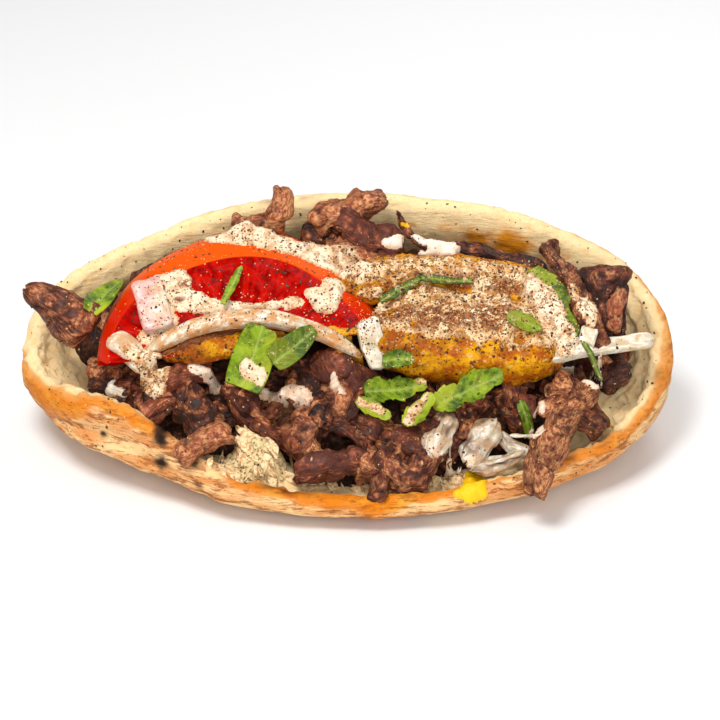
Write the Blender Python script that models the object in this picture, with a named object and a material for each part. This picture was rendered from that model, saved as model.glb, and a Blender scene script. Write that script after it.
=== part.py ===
"""Gyro sandwich: a thick pita slit along one side, opened like a boat and piled with sliced meat.

Lengths are in millimetres while the shapes are made, and become metres at the end. The world frame has
+X along the sandwich, +Y away from the open side and +Z up, with the origin on the flat underside.
The pile is placed in tray coordinates (u, w, h): u runs along +X, w climbs the sloping mouth of the pita
from its front lip to its rear lip, and h stands out of the mouth.
"""

import math

import bmesh
import bpy
from mathutils import Matrix, Vector, noise
from mathutils.bvhtree import BVHTree

MM = 0.001
GAP = 0.35  # clearance that touching pieces keep
CORE_GAP = 0.8  # the same between the heap and the wall round it

# Bread
HALF_LENGTH = 88.5  # from the middle to the rim's centre line, at either end
MIDDLE_X = -0.2
LIP_RADIUS = 3.3  # half the thickness of the wall at its rim
CORNER_Y, CORNER_Z = 5.0, 24.0  # where the lower and the upper wall meet
FRONT_REACH, REAR_REACH = 58.0, 27.0  # from the corners to the front lip and to the rear lip
FRONT_DROP, REAR_RISE = 16.0, 31.0
LEFT_LIP_LIFT, LEFT_LIP_BACK = 11.0, 8.0  # the front lip curls up and back at its left
LEFT_LIP_AT, LEFT_LIP_SPREAD = -62.0, 24.0
REAR_LEFT_SAG = 5.0  # the rear lip is lower at its left
FLOOR = 6.0  # thickness of the lower wall
RIM_POWER = 2.15
WALL_POWER = 2.8
LEFT_END_ROUNDING = 0.95
REAR_BELLY = 0.30
LEFT_BELLY = 0.45
PUFF = 1.1  # how far the baked skin swells and sinks
PUFF_LENGTH = 17.0
FOLD_DEPTH = 2.4  # the crease below the left lip
RIM_STEPS, WALL_STEPS, LIP_STEPS = 56, 7, 3
BASE_PATCH = 0.42  # share of the underside that is dead flat

# Mouth of the pita
TRAY_FOOT = Vector((0.0, -47.0, 8.0))
TRAY_SLOPE = math.radians(32.0)
TRAY_UP = Vector((0.0, math.cos(TRAY_SLOPE), math.sin(TRAY_SLOPE)))
TRAY_OUT = Vector((0.0, -math.sin(TRAY_SLOPE), math.cos(TRAY_SLOPE)))

# Filling
PILE_TOP = (0.0, 40.0, -2.5)  # middle of the meat's surface, in tray coordinates
TOMATO_MIDDLE, TOMATO_RADII = (-28.5, 37.0), (40.5, 44.0)  # its widest outline
TOMATO_FACE_MIDDLE, TOMATO_FACE_RADII = (-29.0, 33.0), (36.5, 35.5)  # its cut face
TOMATO_THICKNESS = 9.5
LEAF_THICKNESS = 0.8

BREAD_COLOUR = (0.86, 0.72, 0.48)
MEAT_COLOUR = (0.17, 0.075, 0.055)
TOMATO_COLOUR = (0.70, 0.05, 0.02)
AUBERGINE_COLOUR = (0.72, 0.36, 0.05)
ONION_COLOUR = (0.85, 0.82, 0.74)
LEAF_COLOUR = (0.22, 0.42, 0.04)


def tray(u, w, h):
    """The world point at tray coordinates (u, w, h)."""
    return TRAY_FOOT + Vector((u, 0.0, 0.0)) + TRAY_UP * w + TRAY_OUT * h


def bell(value, middle, spread):
    return math.exp(-(((value - middle) / spread) ** 2))


def gate(value, steepness):
    """A smooth step from 0 to 1 round a value of 0."""
    return 1 / (1 + math.exp(-value * steepness))


def signed_power(value, power):
    return math.copysign(abs(value) ** power, value)


def rim(theta):
    """The middle of the bread's rim; theta 0 is the right corner and 90 degrees the rear lip."""
    along = signed_power(math.cos(theta), 2 / RIM_POWER)
    across = signed_power(math.sin(theta), 2 / RIM_POWER)
    both = math.sqrt(across * across + 0.04) - 0.2
    x = HALF_LENGTH * along + MIDDLE_X
    y = CORNER_Y + (FRONT_REACH + REAR_REACH) / 2 * across - (FRONT_REACH - REAR_REACH) / 2 * both
    z = CORNER_Z + (FRONT_DROP + REAR_RISE) / 2 * across + (REAR_RISE - FRONT_DROP) / 2 * both
    curl = bell(x, LEFT_LIP_AT, LEFT_LIP_SPREAD) * gate(-across - 0.30, 12)
    y += LEFT_LIP_BACK * curl
    z += LEFT_LIP_LIFT * curl - REAR_LEFT_SAG * bell(x, -66, 32) * gate(across - 0.1, 8)
    return Vector((x, y, z))


def rim_outward(theta):
    """The level direction that points out of the bread at the rim."""
    step = rim(theta + 1e-3) - rim(theta - 1e-3)
    return Vector((step.y, -step.x, 0.0)).normalized()


def puffed(point):
    """The point moved by the bread's uneven swelling, which the flat underside doesn't have."""
    middle = Vector((max(-50.0, min(50.0, point.x)), -3.0, 26.0))
    swell = PUFF * noise.noise(point / PUFF_LENGTH) * min(1.0, max(0.0, point.z - 0.6) / 5.0)
    return point + (point - middle).normalized() * swell


def wall(theta, depth, reach, floor):
    """A point of the outer or inner wall; depth runs from 0 at the rim to a quarter turn at the keel."""
    edge = rim(theta) + rim_outward(theta) * reach
    power = WALL_POWER - LEFT_END_ROUNDING * max(0.0, -math.cos(theta)) ** 3
    across = max(0.0, math.cos(depth)) ** (2 / power)
    across *= 1 + REAR_BELLY * max(0.0, math.sin(theta)) * math.sin(2 * depth)
    height = 1 - math.sin(depth) ** (2 / WALL_POWER)
    return Vector((edge.x * across, edge.y * across, floor + (edge.z - floor) * height)), height


def outer_wall(theta, depth):
    point, height = wall(theta, depth, LIP_RADIUS, 0.0)
    left_front = bell(math.degrees(theta) % 360, 216, 20)
    point.y *= 1 + LEFT_BELLY * left_front * math.sin(2 * depth)
    if math.cos(depth) ** (2 / WALL_POWER) < BASE_PATCH:
        return Vector((point.x, point.y, 0.0))
    return puffed(point - rim_outward(theta) * FOLD_DEPTH * left_front * bell(height, 0.72, 0.12))


def torn_crumb(x, y):
    """Height of the crumb that stands up behind the front lip, where the filling leaves a gap."""
    return 12.0 * bell(x, -24, 8) * bell(y, -37, 5.0)


def inner_wall(theta, depth, gap=0.0):
    point, _ = wall(theta, depth, -LIP_RADIUS - gap, FLOOR + gap)
    point.z += torn_crumb(point.x, point.y)
    return puffed(point)


def lip(theta, turn):
    """A point of the rounded rim; turn goes from 0 on the outer wall to a half turn on the inner one."""
    outward = rim_outward(theta) * math.cos(turn) + Vector((0, 0, 1)) * math.sin(turn)
    return puffed(rim(theta) + outward * LIP_RADIUS)


def material(name, colour, roughness=0.6):
    made = bpy.data.materials.get(name) or bpy.data.materials.new(name)
    made.use_nodes = True
    shader = made.node_tree.nodes["Principled BSDF"]
    shader.inputs["Base Color"].default_value = (*colour, 1.0)
    shader.inputs["Roughness"].default_value = roughness
    shader.inputs["Metallic"].default_value = 0.0
    return made


def add_object(name, points, faces, finish):
    mesh = bpy.data.meshes.new(name)
    mesh.from_pydata([tuple(p) for p in points], [], faces)
    work = bmesh.new()
    work.from_mesh(mesh)
    bmesh.ops.recalc_face_normals(work, faces=work.faces)
    bmesh.ops.triangulate(work, faces=work.faces)
    work.to_mesh(mesh)
    work.free()
    made = bpy.data.objects.new(name, mesh)
    mesh.materials.append(finish)
    bpy.context.collection.objects.link(made)
    return made


def lofted(rings):
    """Faces that join rings of equal length, with the first and the last closed by one face each."""
    count = len(rings[0])
    points = [p for ring in rings for p in ring]
    faces = []
    for row in range(len(rings) - 1):
        for i in range(count):
            a, b = row * count + i, row * count + (i + 1) % count
            faces.append((a, b, b + count, a + count))
    faces.append(tuple(reversed(range(count))))
    last = len(points) - count
    faces.append(tuple(last + i for i in range(count)))
    return points, faces


def rim_angles():
    return [2 * math.pi * i / RIM_STEPS for i in range(RIM_STEPS)]


def wall_depths():
    """From just above the keel up to the rim, closer together where the wall turns."""
    keel = math.pi / 2 * 0.97
    return [keel * (1 - i / WALL_STEPS) ** 0.85 for i in range(WALL_STEPS + 1)]


def make_bread():
    rings = [[outer_wall(t, d) for t in rim_angles()] for d in wall_depths()]
    for step in range(1, LIP_STEPS + 1):
        turn = math.pi * step / (LIP_STEPS + 1)
        rings.append([lip(t, turn) for t in rim_angles()])
    rings += [[inner_wall(t, d) for t in rim_angles()] for d in reversed(wall_depths())]
    points, faces = lofted(rings)
    return add_object("pita_bread", points, faces, material("bread", BREAD_COLOUR, 0.75))


def fill_depth(theta):
    """How far below the rim the filling meets the inner wall.

    It is deepest behind the torn crumb, and leaves a band of crumb bare at the front on the right.
    """
    rear = max(0.0, math.sin(theta))
    bare = 0.50 * bell(math.degrees(theta) % 360, 256, 8) + 0.24 * bell(math.degrees(theta) % 360, 306, 26)
    return 0.50 + bare - 0.30 * rear + 0.10 * math.cos(theta) ** 2 * (1 - rear)


def tray_coordinates(point):
    offset = point - TRAY_FOOT
    return Vector((offset.x, offset.dot(TRAY_UP), offset.dot(TRAY_OUT)))


def make_core():
    """The solid middle of the heap: the pita's hollow up to a low dome."""
    angles = rim_angles()
    rings = []
    for share in (1.0, 0.75, 0.5, 0.25):
        rings.append([
            inner_wall(t, fill_depth(t) + (math.pi / 2 * 0.97 - fill_depth(t)) * share, CORE_GAP)
            for t in angles
        ])
    edges = [tray_coordinates(inner_wall(t, fill_depth(t), CORE_GAP)) for t in angles]
    top = Vector(PILE_TOP)
    for share in (1.0, 0.8, 0.6, 0.4, 0.2):
        ring = []
        for edge in edges:
            flat = top.lerp(edge, share)
            height = top.z + (edge.z - top.z) * share ** 4
            lump = 1.2 * noise.noise(Vector((flat.x, flat.y, 0.0)) / 9.0) * (share < 1.0)
            ring.append(tray(flat.x, flat.y, height + lump))
        rings.append(ring)
    points, faces = lofted(rings)
    return add_object("heap_core", points, faces, material("meat", MEAT_COLOUR, 0.55))


def strip_frame(start, end, roll):
    """Start, axis, side and up of a strip laid from one tray point to another."""
    first, last = tray(*start), tray(*end)
    axis = (last - first).normalized()
    side = TRAY_OUT.cross(axis).normalized()
    up = axis.cross(side)
    turn = Matrix.Rotation(math.radians(roll), 3, axis)
    return first, (last - first).length, axis, turn @ side, turn @ up


def strip(start, end, width, thick, bend=0.0, arch=0.0, taper=(1.0, 1.0), roll=0.0,
          square=2.6, rough=0.9, grain=6.0, seed=0, rings=6, sides=8):
    """Points and faces of a strip with blunt ends: a slice of meat, an onion segment or thick sauce.

    bend and arch are how far its middle stands off the straight line, sideways and upwards. taper scales
    its first and its last end. rough is the height of its lumps and grain their size.
    """
    first, length, axis, side, up = strip_frame(start, end, roll)
    shift = Vector((seed * 3.7, seed * 1.3, seed * 2.1))
    made = []
    for ring in range(rings):
        s = 0.035 + 0.93 * ring / (rings - 1)
        blunt = (1 - abs(2 * s - 1) ** 3.5) ** 0.5
        scale = (taper[0] + (taper[1] - taper[0]) * s) * blunt
        bow = 4 * s * (1 - s)
        middle = first + axis * (length * s) + side * (bend * bow) + up * (arch * bow)
        made.append([])
        for i in range(sides):
            angle = 2 * math.pi * (i + 0.5) / sides
            c = signed_power(math.cos(angle), 2 / square)
            v = signed_power(math.sin(angle), 2 / square)
            away = side * (c * width / 2 * scale) + up * (v * thick / 2 * scale)
            point = middle + away
            lump = rough * noise.noise(point / grain + shift) * min(1.0, scale)
            made[-1].append(point + away.normalized() * lump)
    return lofted(made)


def make_strip(name, finish, *args, **sizes):
    points, faces = strip(*args, **sizes)
    return add_object(name, points, faces, finish)


def keep_largest(obj):
    """Drops the scraps that a cut leaves and keeps the largest body."""
    work = bmesh.new()
    work.from_mesh(obj.data)
    bmesh.ops.remove_doubles(work, verts=work.verts, dist=1e-5)
    islands, seen = [], set()
    for face in work.faces:
        if face in seen:
            continue
        island, queue = [], [face]
        seen.add(face)
        while queue:
            here = queue.pop()
            island.append(here)
            for edge in here.edges:
                for other in edge.link_faces:
                    if other not in seen:
                        seen.add(other)
                        queue.append(other)
        islands.append(island)
    if len(islands) > 1:
        islands.sort(key=lambda faces: sum(f.calc_area() for f in faces))
        loose = [f for island in islands[:-1] for f in island]
        bmesh.ops.delete(work, geom=loose, context="FACES")
        lone = [v for v in work.verts if not v.link_faces]
        bmesh.ops.delete(work, geom=lone, context="VERTS")
    work.to_mesh(obj.data)
    work.free()


def volume_of(mesh):
    work = bmesh.new()
    work.from_mesh(mesh)
    volume = work.calc_volume(signed=True)
    work.free()
    return volume


def is_closed(mesh):
    work = bmesh.new()
    work.from_mesh(mesh)
    closed = all(edge.is_manifold for edge in work.edges)
    work.free()
    return closed


def solved(obj, operation, group, solver):
    """The mesh that a Boolean on a collection makes of obj."""
    change = obj.modifiers.new("join", "BOOLEAN")
    change.operation = operation
    change.operand_type = "COLLECTION"
    change.collection = group
    change.solver = solver
    graph = bpy.context.evaluated_depsgraph_get()
    mesh = bpy.data.meshes.new_from_object(obj.evaluated_get(graph))
    obj.modifiers.clear()
    return mesh


def apply_boolean(obj, operation, others):
    """Joins others to obj or cuts them from it, and removes them."""
    group = bpy.data.collections.new("joining")
    for other in others:
        group.objects.link(other)
    before, between = volume_of(obj.data), sum(volume_of(o.data) for o in others)
    least = before * 0.999 if operation == "UNION" else max(0.02 * before, before - 1.01 * between)
    mesh = solved(obj, operation, group, "EXACT")
    if not (is_closed(mesh) and least <= volume_of(mesh) <= before * 1.001 + between):
        mesh = solved(obj, operation, group, "MANIFOLD")
    obj.data = mesh
    for other in others:
        bpy.data.objects.remove(other)
    bpy.data.collections.remove(group)
    keep_largest(obj)


def grown(obj):
    """A copy of obj that is larger all round by the gap that neighbours keep."""
    work = bmesh.new()
    work.from_mesh(obj.data)
    work.normal_update()
    for vertex in work.verts:
        factor = min(1.8, vertex.calc_shell_factor())
        vertex.co += vertex.normal * (GAP * factor)
    mesh = bpy.data.meshes.new(obj.name + "_grown")
    work.to_mesh(mesh)
    work.free()
    copy = bpy.data.objects.new(obj.name + "_grown", mesh)
    bpy.context.collection.objects.link(copy)
    return copy


def tree_of(obj):
    return BVHTree.FromPolygons([v.co for v in obj.data.vertices],
                                [p.vertices for p in obj.data.polygons])


def make_clear(ranked):
    """Cuts every piece back from the ones before it in the list, which lie on it or hold it."""
    for rank, piece in enumerate(ranked):
        for upper in ranked[:rank]:
            cutter = grown(upper)
            if tree_of(piece).overlap(tree_of(cutter)):
                apply_boolean(piece, "DIFFERENCE", [cutter])
            else:
                bpy.data.objects.remove(cutter)


# The meat that shows on the heap: start and end in tray coordinates, width, thickness and bend.
HEAP_SLICES = (
    ((-50, 33, 2), (-37, 37, 2.5), 6.5, 6.0, 1.0),
    ((-56, 24, -3), (-47, 31, -1), 8.5, 7.0, 1.0),
    ((-48, 33, -2), (-38, 18, -1), 11.0, 9.0, 1.5),
    ((-33, 33, 0), (-16, 16, -1), 8.0, 8.0, -1.5),
    ((-13, 40, 0), (-7, 27, 0), 9.0, 8.0, 0.0),
    ((-5, 44, 1), (7, 28, 1), 14.0, 10.0, -1.5),
    ((-17, 33, -1), (3, 27, -1), 9.0, 8.0, 0.0),
    ((-15, 12, 0.5), (-3, 26, 0), 12.0, 10.0, 1.0),
    ((-7, 23, 1), (9, 15, 1), 10.0, 9.0, 1.5),
    ((-14, 4.5, 2), (9, 7, 2.5), 8.0, 7.0, 2.5),
    ((4, 9, 2), (18, 1.5, 2.5), 10.0, 8.0, 0.0),
    ((9, 5, 2), (8, -4, 4), 6.0, 5.0, 0.5),
    ((16, 1, 2), (23, 14, 1), 10.0, 8.0, 0.0),
    ((3, 21, 0), (18, 12, 0), 10.0, 8.5, 0.0),
    ((13, 12, 1.5), (22, 20, 1), 8.0, 7.0, 0.0),
    ((24, 11, -3), (31, 19, -3), 8.0, 7.0, 0.0),
    ((30, 21, -4), (37, 33, -3), 8.0, 7.0, 0.0),
    ((38, 20, -5), (45, 32, -4), 8.5, 7.5, 0.0),
    ((46, 36, -2), (47, 21, -3), 6.5, 6.5, 0.0),
    ((50, 24, -6), (58, 38, -5), 8.5, 7.0, 0.0),
    ((57, 31, 0), (70, 20, -1), 11.0, 9.0, 0.0),
    ((-70, 36, -5), (-63, 45, -5), 8.5, 7.5, 0.0),
    ((-66, 32, -6), (-53, 40, -5), 9.5, 8.0, 0.0),
    ((-63, 37, -4), (-56, 29, -5), 7.0, 6.0, 0.0),
    ((-39, 22, -4), (-28, 31, -5), 10.0, 8.0, 0.0),
    ((-23, 23, -5), (-12, 33, -5), 10.0, 8.0, 0.0),
    ((17, 30, -2), (26, 23, -2), 10.0, 8.0, 0.0),
    ((25, 33, -4), (33, 39, -4), 9.0, 8.0, 0.0),
    ((69, 36, -5), (77, 42, -4), 8.5, 7.5, 0.0),
    ((20, 69, 0), (31, 70, 0.5), 9.0, 7.5, 0.0),
    ((36, 68, -3), (56, 62, -4), 11.0, 8.0, 0.0),
    ((-13, 78, -1), (6, 79, -1), 11.0, 9.0, 0.0),
    ((-37, 77, -4), (-19, 80, -3), 10.0, 9.0, 0.0),
    ((-60, 66, -6), (-44, 74, -6), 10.0, 9.0, 0.0),
    ((58, 52, -2), (64, 62, -3), 10.0, 8.0, 0.0),
)

# The slices that lie on the heap or on the rim, each a piece of its own.
LOOSE_SLICES = {
    "meat_left_corner": dict(start=(-89, 60, 6), end=(-70, 48, 4), width=15, thick=7.5,
                             taper=(0.35, 1.1), rough=1.0, seed=41),
    "meat_front_left": dict(start=(-45, 8, 4), end=(-31, 16, 3), width=7.5, thick=6.5, bend=1.0, seed=42),
    "meat_back_base": dict(start=(-32, 81, 3.5), end=(-18, 84, 3.5), width=8, thick=7.5, rough=1.5,
                           grain=4.5, seed=43),
    "meat_back_knob": dict(start=(-20, 82, 4.5), end=(-19, 91.5, 8), width=6.5, thick=6, bend=-1.0, seed=44),
    "meat_back_cluster": dict(start=(-10, 81.5, 4), end=(11, 89.5, 5), width=8.5, thick=8, rough=1.8,
                              grain=4.0, seed=45),
    "meat_back_oval": dict(start=(-4, 81.5, 4), end=(15, 74, 3), width=11, thick=8, seed=46),
    "meat_back_strip": dict(start=(-6, 74.5, 4.5), end=(27, 67, 3), width=6, thick=5.5, bend=-1.0, seed=47),
    "meat_back_spike": dict(start=(14, 86, 3), end=(28, 73.5, 2.5), width=4, thick=3.4, bend=-2.5,
                            taper=(0.7, 1.0), seed=48),
    "meat_rear_dark": dict(start=(27, 75, 2), end=(56, 66, 2), width=6, thick=6, bend=1.5, seed=49),
    "meat_right_strip": dict(start=(55.5, 74, 7.5), end=(70, 40, 4.5), width=5.8, thick=5, arch=2.5, seed=50),
    "meat_right_chunk": dict(start=(71, 46, 1.5), end=(72, 67, 5), width=13.5, thick=9, taper=(0.75, 1.1),
                             rough=1.3, seed=51),
    "meat_right_lobe": dict(start=(73, 46, 7), end=(75, 58.5, 9), width=4.6, thick=4.5, seed=52),
    "meat_right_small": dict(start=(69, 36, -3), end=(77, 40, -3), width=7, thick=5.5, seed=53),
    "meat_front_right": dict(start=(67, 33, 0), end=(50.5, -3, 5.5), width=9, thick=6.5, bend=-3.0,
                             taper=(0.9, 1.05), seed=54),
}


def make_meat():
    """The loose slices, from the front to the back of the pile."""
    finish = material("meat", MEAT_COLOUR, 0.55)
    return [make_strip(name, finish, rings=7, sides=7, **sizes) for name, sizes in LOOSE_SLICES.items()]


def make_heap():
    core = make_core()
    finish = material("meat", MEAT_COLOUR, 0.55)
    slices = []
    for number, (start, end, width, thick, bend) in enumerate(HEAP_SLICES):
        rings = 5 if math.dist(start, end) > 15 else 4
        slices.append(make_strip(f"slice_{number}", finish, start, end, width, thick, bend=bend,
                                 rough=1.6, grain=5.0, seed=number, rings=rings, sides=6))
    apply_boolean(core, "UNION", slices)
    core.name = "meat_heap"
    return core


def tomato_ring(share, height):
    """The outline of a half slice between its widest outline, at share 0, and its cut face, at share 1."""
    ring = []
    first, last, steps = math.radians(19), math.radians(177), 19
    for i in range(steps + 1):
        angle = first + (last - first) * i / steps
        wavy = 1 + 0.015 * math.sin(5 * angle + 1.0)
        wide = Vector(TOMATO_RADII).lerp(Vector(TOMATO_FACE_RADII), share) * wavy
        middle = Vector(TOMATO_MIDDLE).lerp(Vector(TOMATO_FACE_MIDDLE), share)
        ring.append(tray(middle.x + wide.x * math.cos(angle), middle.y + wide.y * math.sin(angle), height))
    for along in (0.25, 0.5, 0.75):
        ring.append(ring[steps].lerp(ring[0], along))
    return ring


def make_tomato():
    """A thick slice whose skin shows as a sloping band, with the thick sauce that lies on it."""
    low, high = -1.0, TOMATO_THICKNESS - 1.0
    levels = ((0.1, low), (0.0, low + 2.0), (0.35, low + 6.0), (1.0, high))
    rings = [tomato_ring(share, height) for share, height in levels]
    points, faces = lofted(rings)
    finish = material("tomato", TOMATO_COLOUR, 0.3)
    slice_ = add_object("tomato_slice", points, faces, finish)
    sauce = [
        make_strip("sauce_top", finish, (-42, 73, 4), (7, 61, 8), 8, 4.5, bend=5.5, rings=6, sides=6),
        make_strip("sauce_low", finish, (-54, 47, high), (0, 52, high), 9, 3, bend=1, rings=6, sides=6),
        make_strip("sauce_lump", finish, (-7, 51, high), (5, 60, high), 11, 5, rings=4, sides=6),
    ]
    apply_boolean(slice_, "UNION", sauce)
    return slice_


def make_aubergine():
    """The two thick sauced slices on the right and the narrow one under the onion arc."""
    finish = material("aubergine", AUBERGINE_COLOUR, 0.5)
    front = make_strip("aubergine_front", finish, (4, 46, 2.5), (61, 44.5, 2), 30, 19, bend=2.0, roll=-18,
                       taper=(0.85, 1.02), square=3.0, rough=2.0, grain=9.0, seed=71, rings=8, sides=12)
    rear = make_strip("aubergine_rear", finish, (-3, 62, 5), (62, 58, 4), 16, 8, bend=3.5, roll=-8,
                      square=3.0, rough=1.2, grain=8.0, seed=72, rings=8, sides=8)
    narrow = make_strip("aubergine_narrow", finish, (-51, 39.5, 6), (-13, 42, 6.5), 11, 7.5, bend=2.5,
                        roll=-20, seed=73)
    return [front, rear, narrow]


ONION_STRIPS = {
    "onion_arc": dict(start=(-58, 37, 6), end=(4, 39, 5.5), width=5.0, thick=5.0, bend=9.0, arch=6.5,
                      rough=0.4, rings=11),
    "onion_quill": dict(start=(5.5, 48, 10), end=(10, 35.5, 5), width=6.4, thick=2.8, bend=-0.8, rough=0.3),
    "onion_left": dict(start=(-64.5, 43, 9), end=(-54, 35, 5), width=7.0, thick=4.0, bend=0.8, rough=0.4),
    "onion_right": dict(start=(53, 37.5, 7), end=(84, 44.8, 4), width=4.2, thick=3.0, bend=0.4, rough=0.3),
    "onion_end": dict(start=(65, 41, 7.5), end=(66.5, 46, 8), width=4.8, thick=3.4, rough=0.3, rings=4),
    "onion_bead": dict(start=(-66, 34, -3.5), end=(-59.5, 32, -3.5), width=5.5, thick=4.5, rough=0.3, rings=4),
    "onion_red": dict(start=(-51, 44.5, 10.5), end=(-55.5, 60, 10.5), width=8.5, thick=2.4, bend=0.0, rough=0.3),
    "onion_low_left": dict(start=(22, 10, 1), end=(28, 24, 0.5), width=8.0, thick=4.5, rough=0.8),
    "onion_low_middle": dict(start=(32, 9, 1), end=(40, 21, 1.5), width=8.5, thick=3.2, rough=0.5),
    "onion_low_front": dict(start=(34, 7, 0), end=(48, 12.5, 0.5), width=4.6, thick=3.6, bend=-1.0, rough=0.4),
    "onion_low_right": dict(start=(41, 18, 0), end=(51, 11, 0.5), width=4.6, thick=3.6, bend=-1.0, rough=0.4),
}


def make_onions():
    finish = material("onion", ONION_COLOUR, 0.35)
    made = []
    for seed, (name, sizes) in enumerate(ONION_STRIPS.items()):
        sizes = {"rings": 6, "seed": 80 + seed, "grain": 5.0, "sides": 8, **sizes}
        made.append(make_strip(name, finish, **sizes))
    return made


# Leaves: base and tip in tray coordinates (u, w), width, how many lobes each side, how far the edges curl.
LEAVES = {
    "leaf_far_left": dict(base=(-70.5, 51), tip=(-63.5, 66), width=7.5, lobes=0, curl=0.6),
    "leaf_sliver": dict(base=(-34, 52), tip=(-29, 65), width=2.6, lobes=0, curl=0.3),
    "leaf_arc_left": dict(base=(-28.5, 29), tip=(-22.5, 43.5), width=11.5, lobes=0, curl=-0.8),
    "leaf_arc_right": dict(base=(-20, 33.5), tip=(-8.5, 43), width=7.5, lobes=0, curl=1.0),
    "leaf_cross_long": dict(base=(4.5, 28), tip=(22, 31), width=8.0, lobes=2, curl=1.0),
    "leaf_cross_high": dict(base=(9.5, 35.5), tip=(18.5, 35), width=5.0, lobes=0, curl=0.5),
    "leaf_cross_right": dict(base=(23, 24.5), tip=(42.5, 31.5), width=9.0, lobes=2, curl=1.2),
    "leaf_cross_low": dict(base=(15.5, 17.5), tip=(23.5, 27), width=6.5, lobes=1, curl=1.0),
    "leaf_cross_left": dict(base=(2.5, 25), tip=(12, 20), width=5.5, lobes=1, curl=0.6),
    "leaf_slab": dict(base=(43.5, 47.5), tip=(53, 43.5), width=5.5, lobes=0, curl=0.5),
    "leaf_sauced": dict(base=(51, 64), tip=(62, 41), width=10.5, lobes=1, curl=-0.8),
    "leaf_top_left": dict(base=(9, 54), tip=(22, 62), width=3.6, lobes=0, curl=0.4),
    "leaf_top_right": dict(base=(20, 60), tip=(35, 60), width=3.6, lobes=1, curl=0.4),
    "leaf_low": dict(base=(47, 27), tip=(50.5, 18), width=3.4, lobes=0, curl=0.3),
    "leaf_right": dict(base=(64, 41), tip=(70, 34), width=2.0, lobes=0, curl=0.2),
}
LEAF_ROWS, LEAF_HALF_COLUMNS = 7, 1


def leaf_half_width(share, width, lobes):
    """Half the width of a leaf at a share of its length, with its lobes."""
    full = max(0.06, math.sin(math.pi * min(1.0, 0.08 + 0.92 * share)) ** 0.55)
    notch = 0.28 * abs(math.sin(math.pi * (lobes + 0.5) * share)) if lobes else 0.28
    return width / 2 * full * (0.72 + notch)


def highest(trees, u, w, reach=1.4):
    """The greatest height of the pile near (u, w), or nothing where there is no pile."""
    found = []
    for du, dw in ((0, 0), (reach, 0), (-reach, 0), (0, reach), (0, -reach)):
        start = tray(u + du, w + dw, 60.0)
        for tree in trees:
            hit = tree.ray_cast(start, -TRAY_OUT, 120.0)[0]
            if hit is not None:
                found.append(60.0 - (start - hit).length)
    return max(found, default=0.0)


def make_leaf(name, finish, trees, seed, base, tip, width, lobes, curl):
    """A thin leaf laid over what is already on the pile, bridging its hollows."""
    base, tip = Vector(base), Vector(tip)
    run = (tip - base).normalized()
    side = Vector((-run.y, run.x))
    columns = 2 * LEAF_HALF_COLUMNS + 1
    spots, curls = [], []
    for row in range(LEAF_ROWS + 1):
        share = row / LEAF_ROWS
        half = leaf_half_width(share, width, lobes)
        for column in range(columns):
            across = (column - LEAF_HALF_COLUMNS) / LEAF_HALF_COLUMNS
            spots.append(base + (tip - base) * share + side * (half * across))
            curls.append(curl * across * across + 0.35 * math.sin(7 * share + 2 * across + seed))
    ground = [highest(trees, s.x, s.y) + GAP + LEAF_THICKNESS / 2 for s in spots]
    heights = list(ground)
    for _ in range(12):
        smooth = list(heights)
        for i in range(len(spots)):
            row, column = divmod(i, columns)
            near = [heights[r * columns + c]
                    for r, c in ((row - 1, column), (row + 1, column), (row, column - 1), (row, column + 1))
                    if 0 <= r <= LEAF_ROWS and 0 <= c < columns]
            smooth[i] = max(ground[i], sum(near) / len(near))
        heights = smooth
    sheets = []
    for offset in (-LEAF_THICKNESS / 2, LEAF_THICKNESS / 2):
        sheets += [tray(s.x, s.y, h + max(0.0, c) + offset) for s, h, c in zip(spots, heights, curls)]
    count, faces = len(spots), []
    for row in range(LEAF_ROWS):
        for column in range(columns - 1):
            a = row * columns + column
            b, c, d = a + 1, a + columns + 1, a + columns
            faces += [(a, c, b), (a, d, c), (count + a, count + b, count + c), (count + a, count + c, count + d)]
    border = list(range(columns))
    border += [r * columns + columns - 1 for r in range(1, LEAF_ROWS + 1)]
    border += [LEAF_ROWS * columns + c for c in range(columns - 2, -1, -1)]
    border += [r * columns for r in range(LEAF_ROWS - 1, 0, -1)]
    for here, there in zip(border, border[1:] + border[:1]):
        faces += [(here, there, count + there), (here, count + there, count + here)]
    return add_object(name, sheets, faces, finish)


def make_leaves(pile):
    finish = material("leaf", LEAF_COLOUR, 0.4)
    trees = [tree_of(piece) for piece in pile]
    made = []
    for seed, (name, sizes) in enumerate(LEAVES.items()):
        leaf = make_leaf(name, finish, trees, seed, **sizes)
        trees.append(tree_of(leaf))
        made.append(leaf)
    return made


def clear_scene():
    for obj in list(bpy.data.objects):
        bpy.data.objects.remove(obj)


def finish_objects():
    """Turns millimetres into metres, and shades the round pieces smooth."""
    for obj in bpy.data.objects:
        obj.data.transform(Matrix.Scale(MM, 4))
        obj.data.shade_smooth()
        obj.data.set_sharp_from_angle(angle=math.radians(50))


def main():
    clear_scene()
    bread = make_bread()
    heap = make_heap()
    meat = make_meat()
    tomato = make_tomato()
    aubergine = make_aubergine()
    onions = make_onions()
    pile = [bread, heap, tomato, *meat, *aubergine, *onions]
    leaves = make_leaves(pile)
    make_clear([bread, *reversed(leaves), *onions, *meat, *aubergine, tomato, heap])
    finish_objects()


main()
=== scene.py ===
"""Looks of the gyro sandwich: bread, meat, vegetables, sauces and spices at true size in the part's frame.

Shapes are worked out in millimetres. Tray coordinates (u, w, h) lie in the mouth of the pita: u runs along
+X, w climbs from the front lip to the rear lip and h stands out of the mouth. Meshes are written in metres.
"""

import logging
import math
import random
from dataclasses import dataclass, replace
from enum import Enum
from typing import Callable, Iterable, Optional, Sequence, Union

import bpy
import numpy as np
from mathutils import Matrix, Vector, noise
from mathutils.bvhtree import BVHTree

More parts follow.
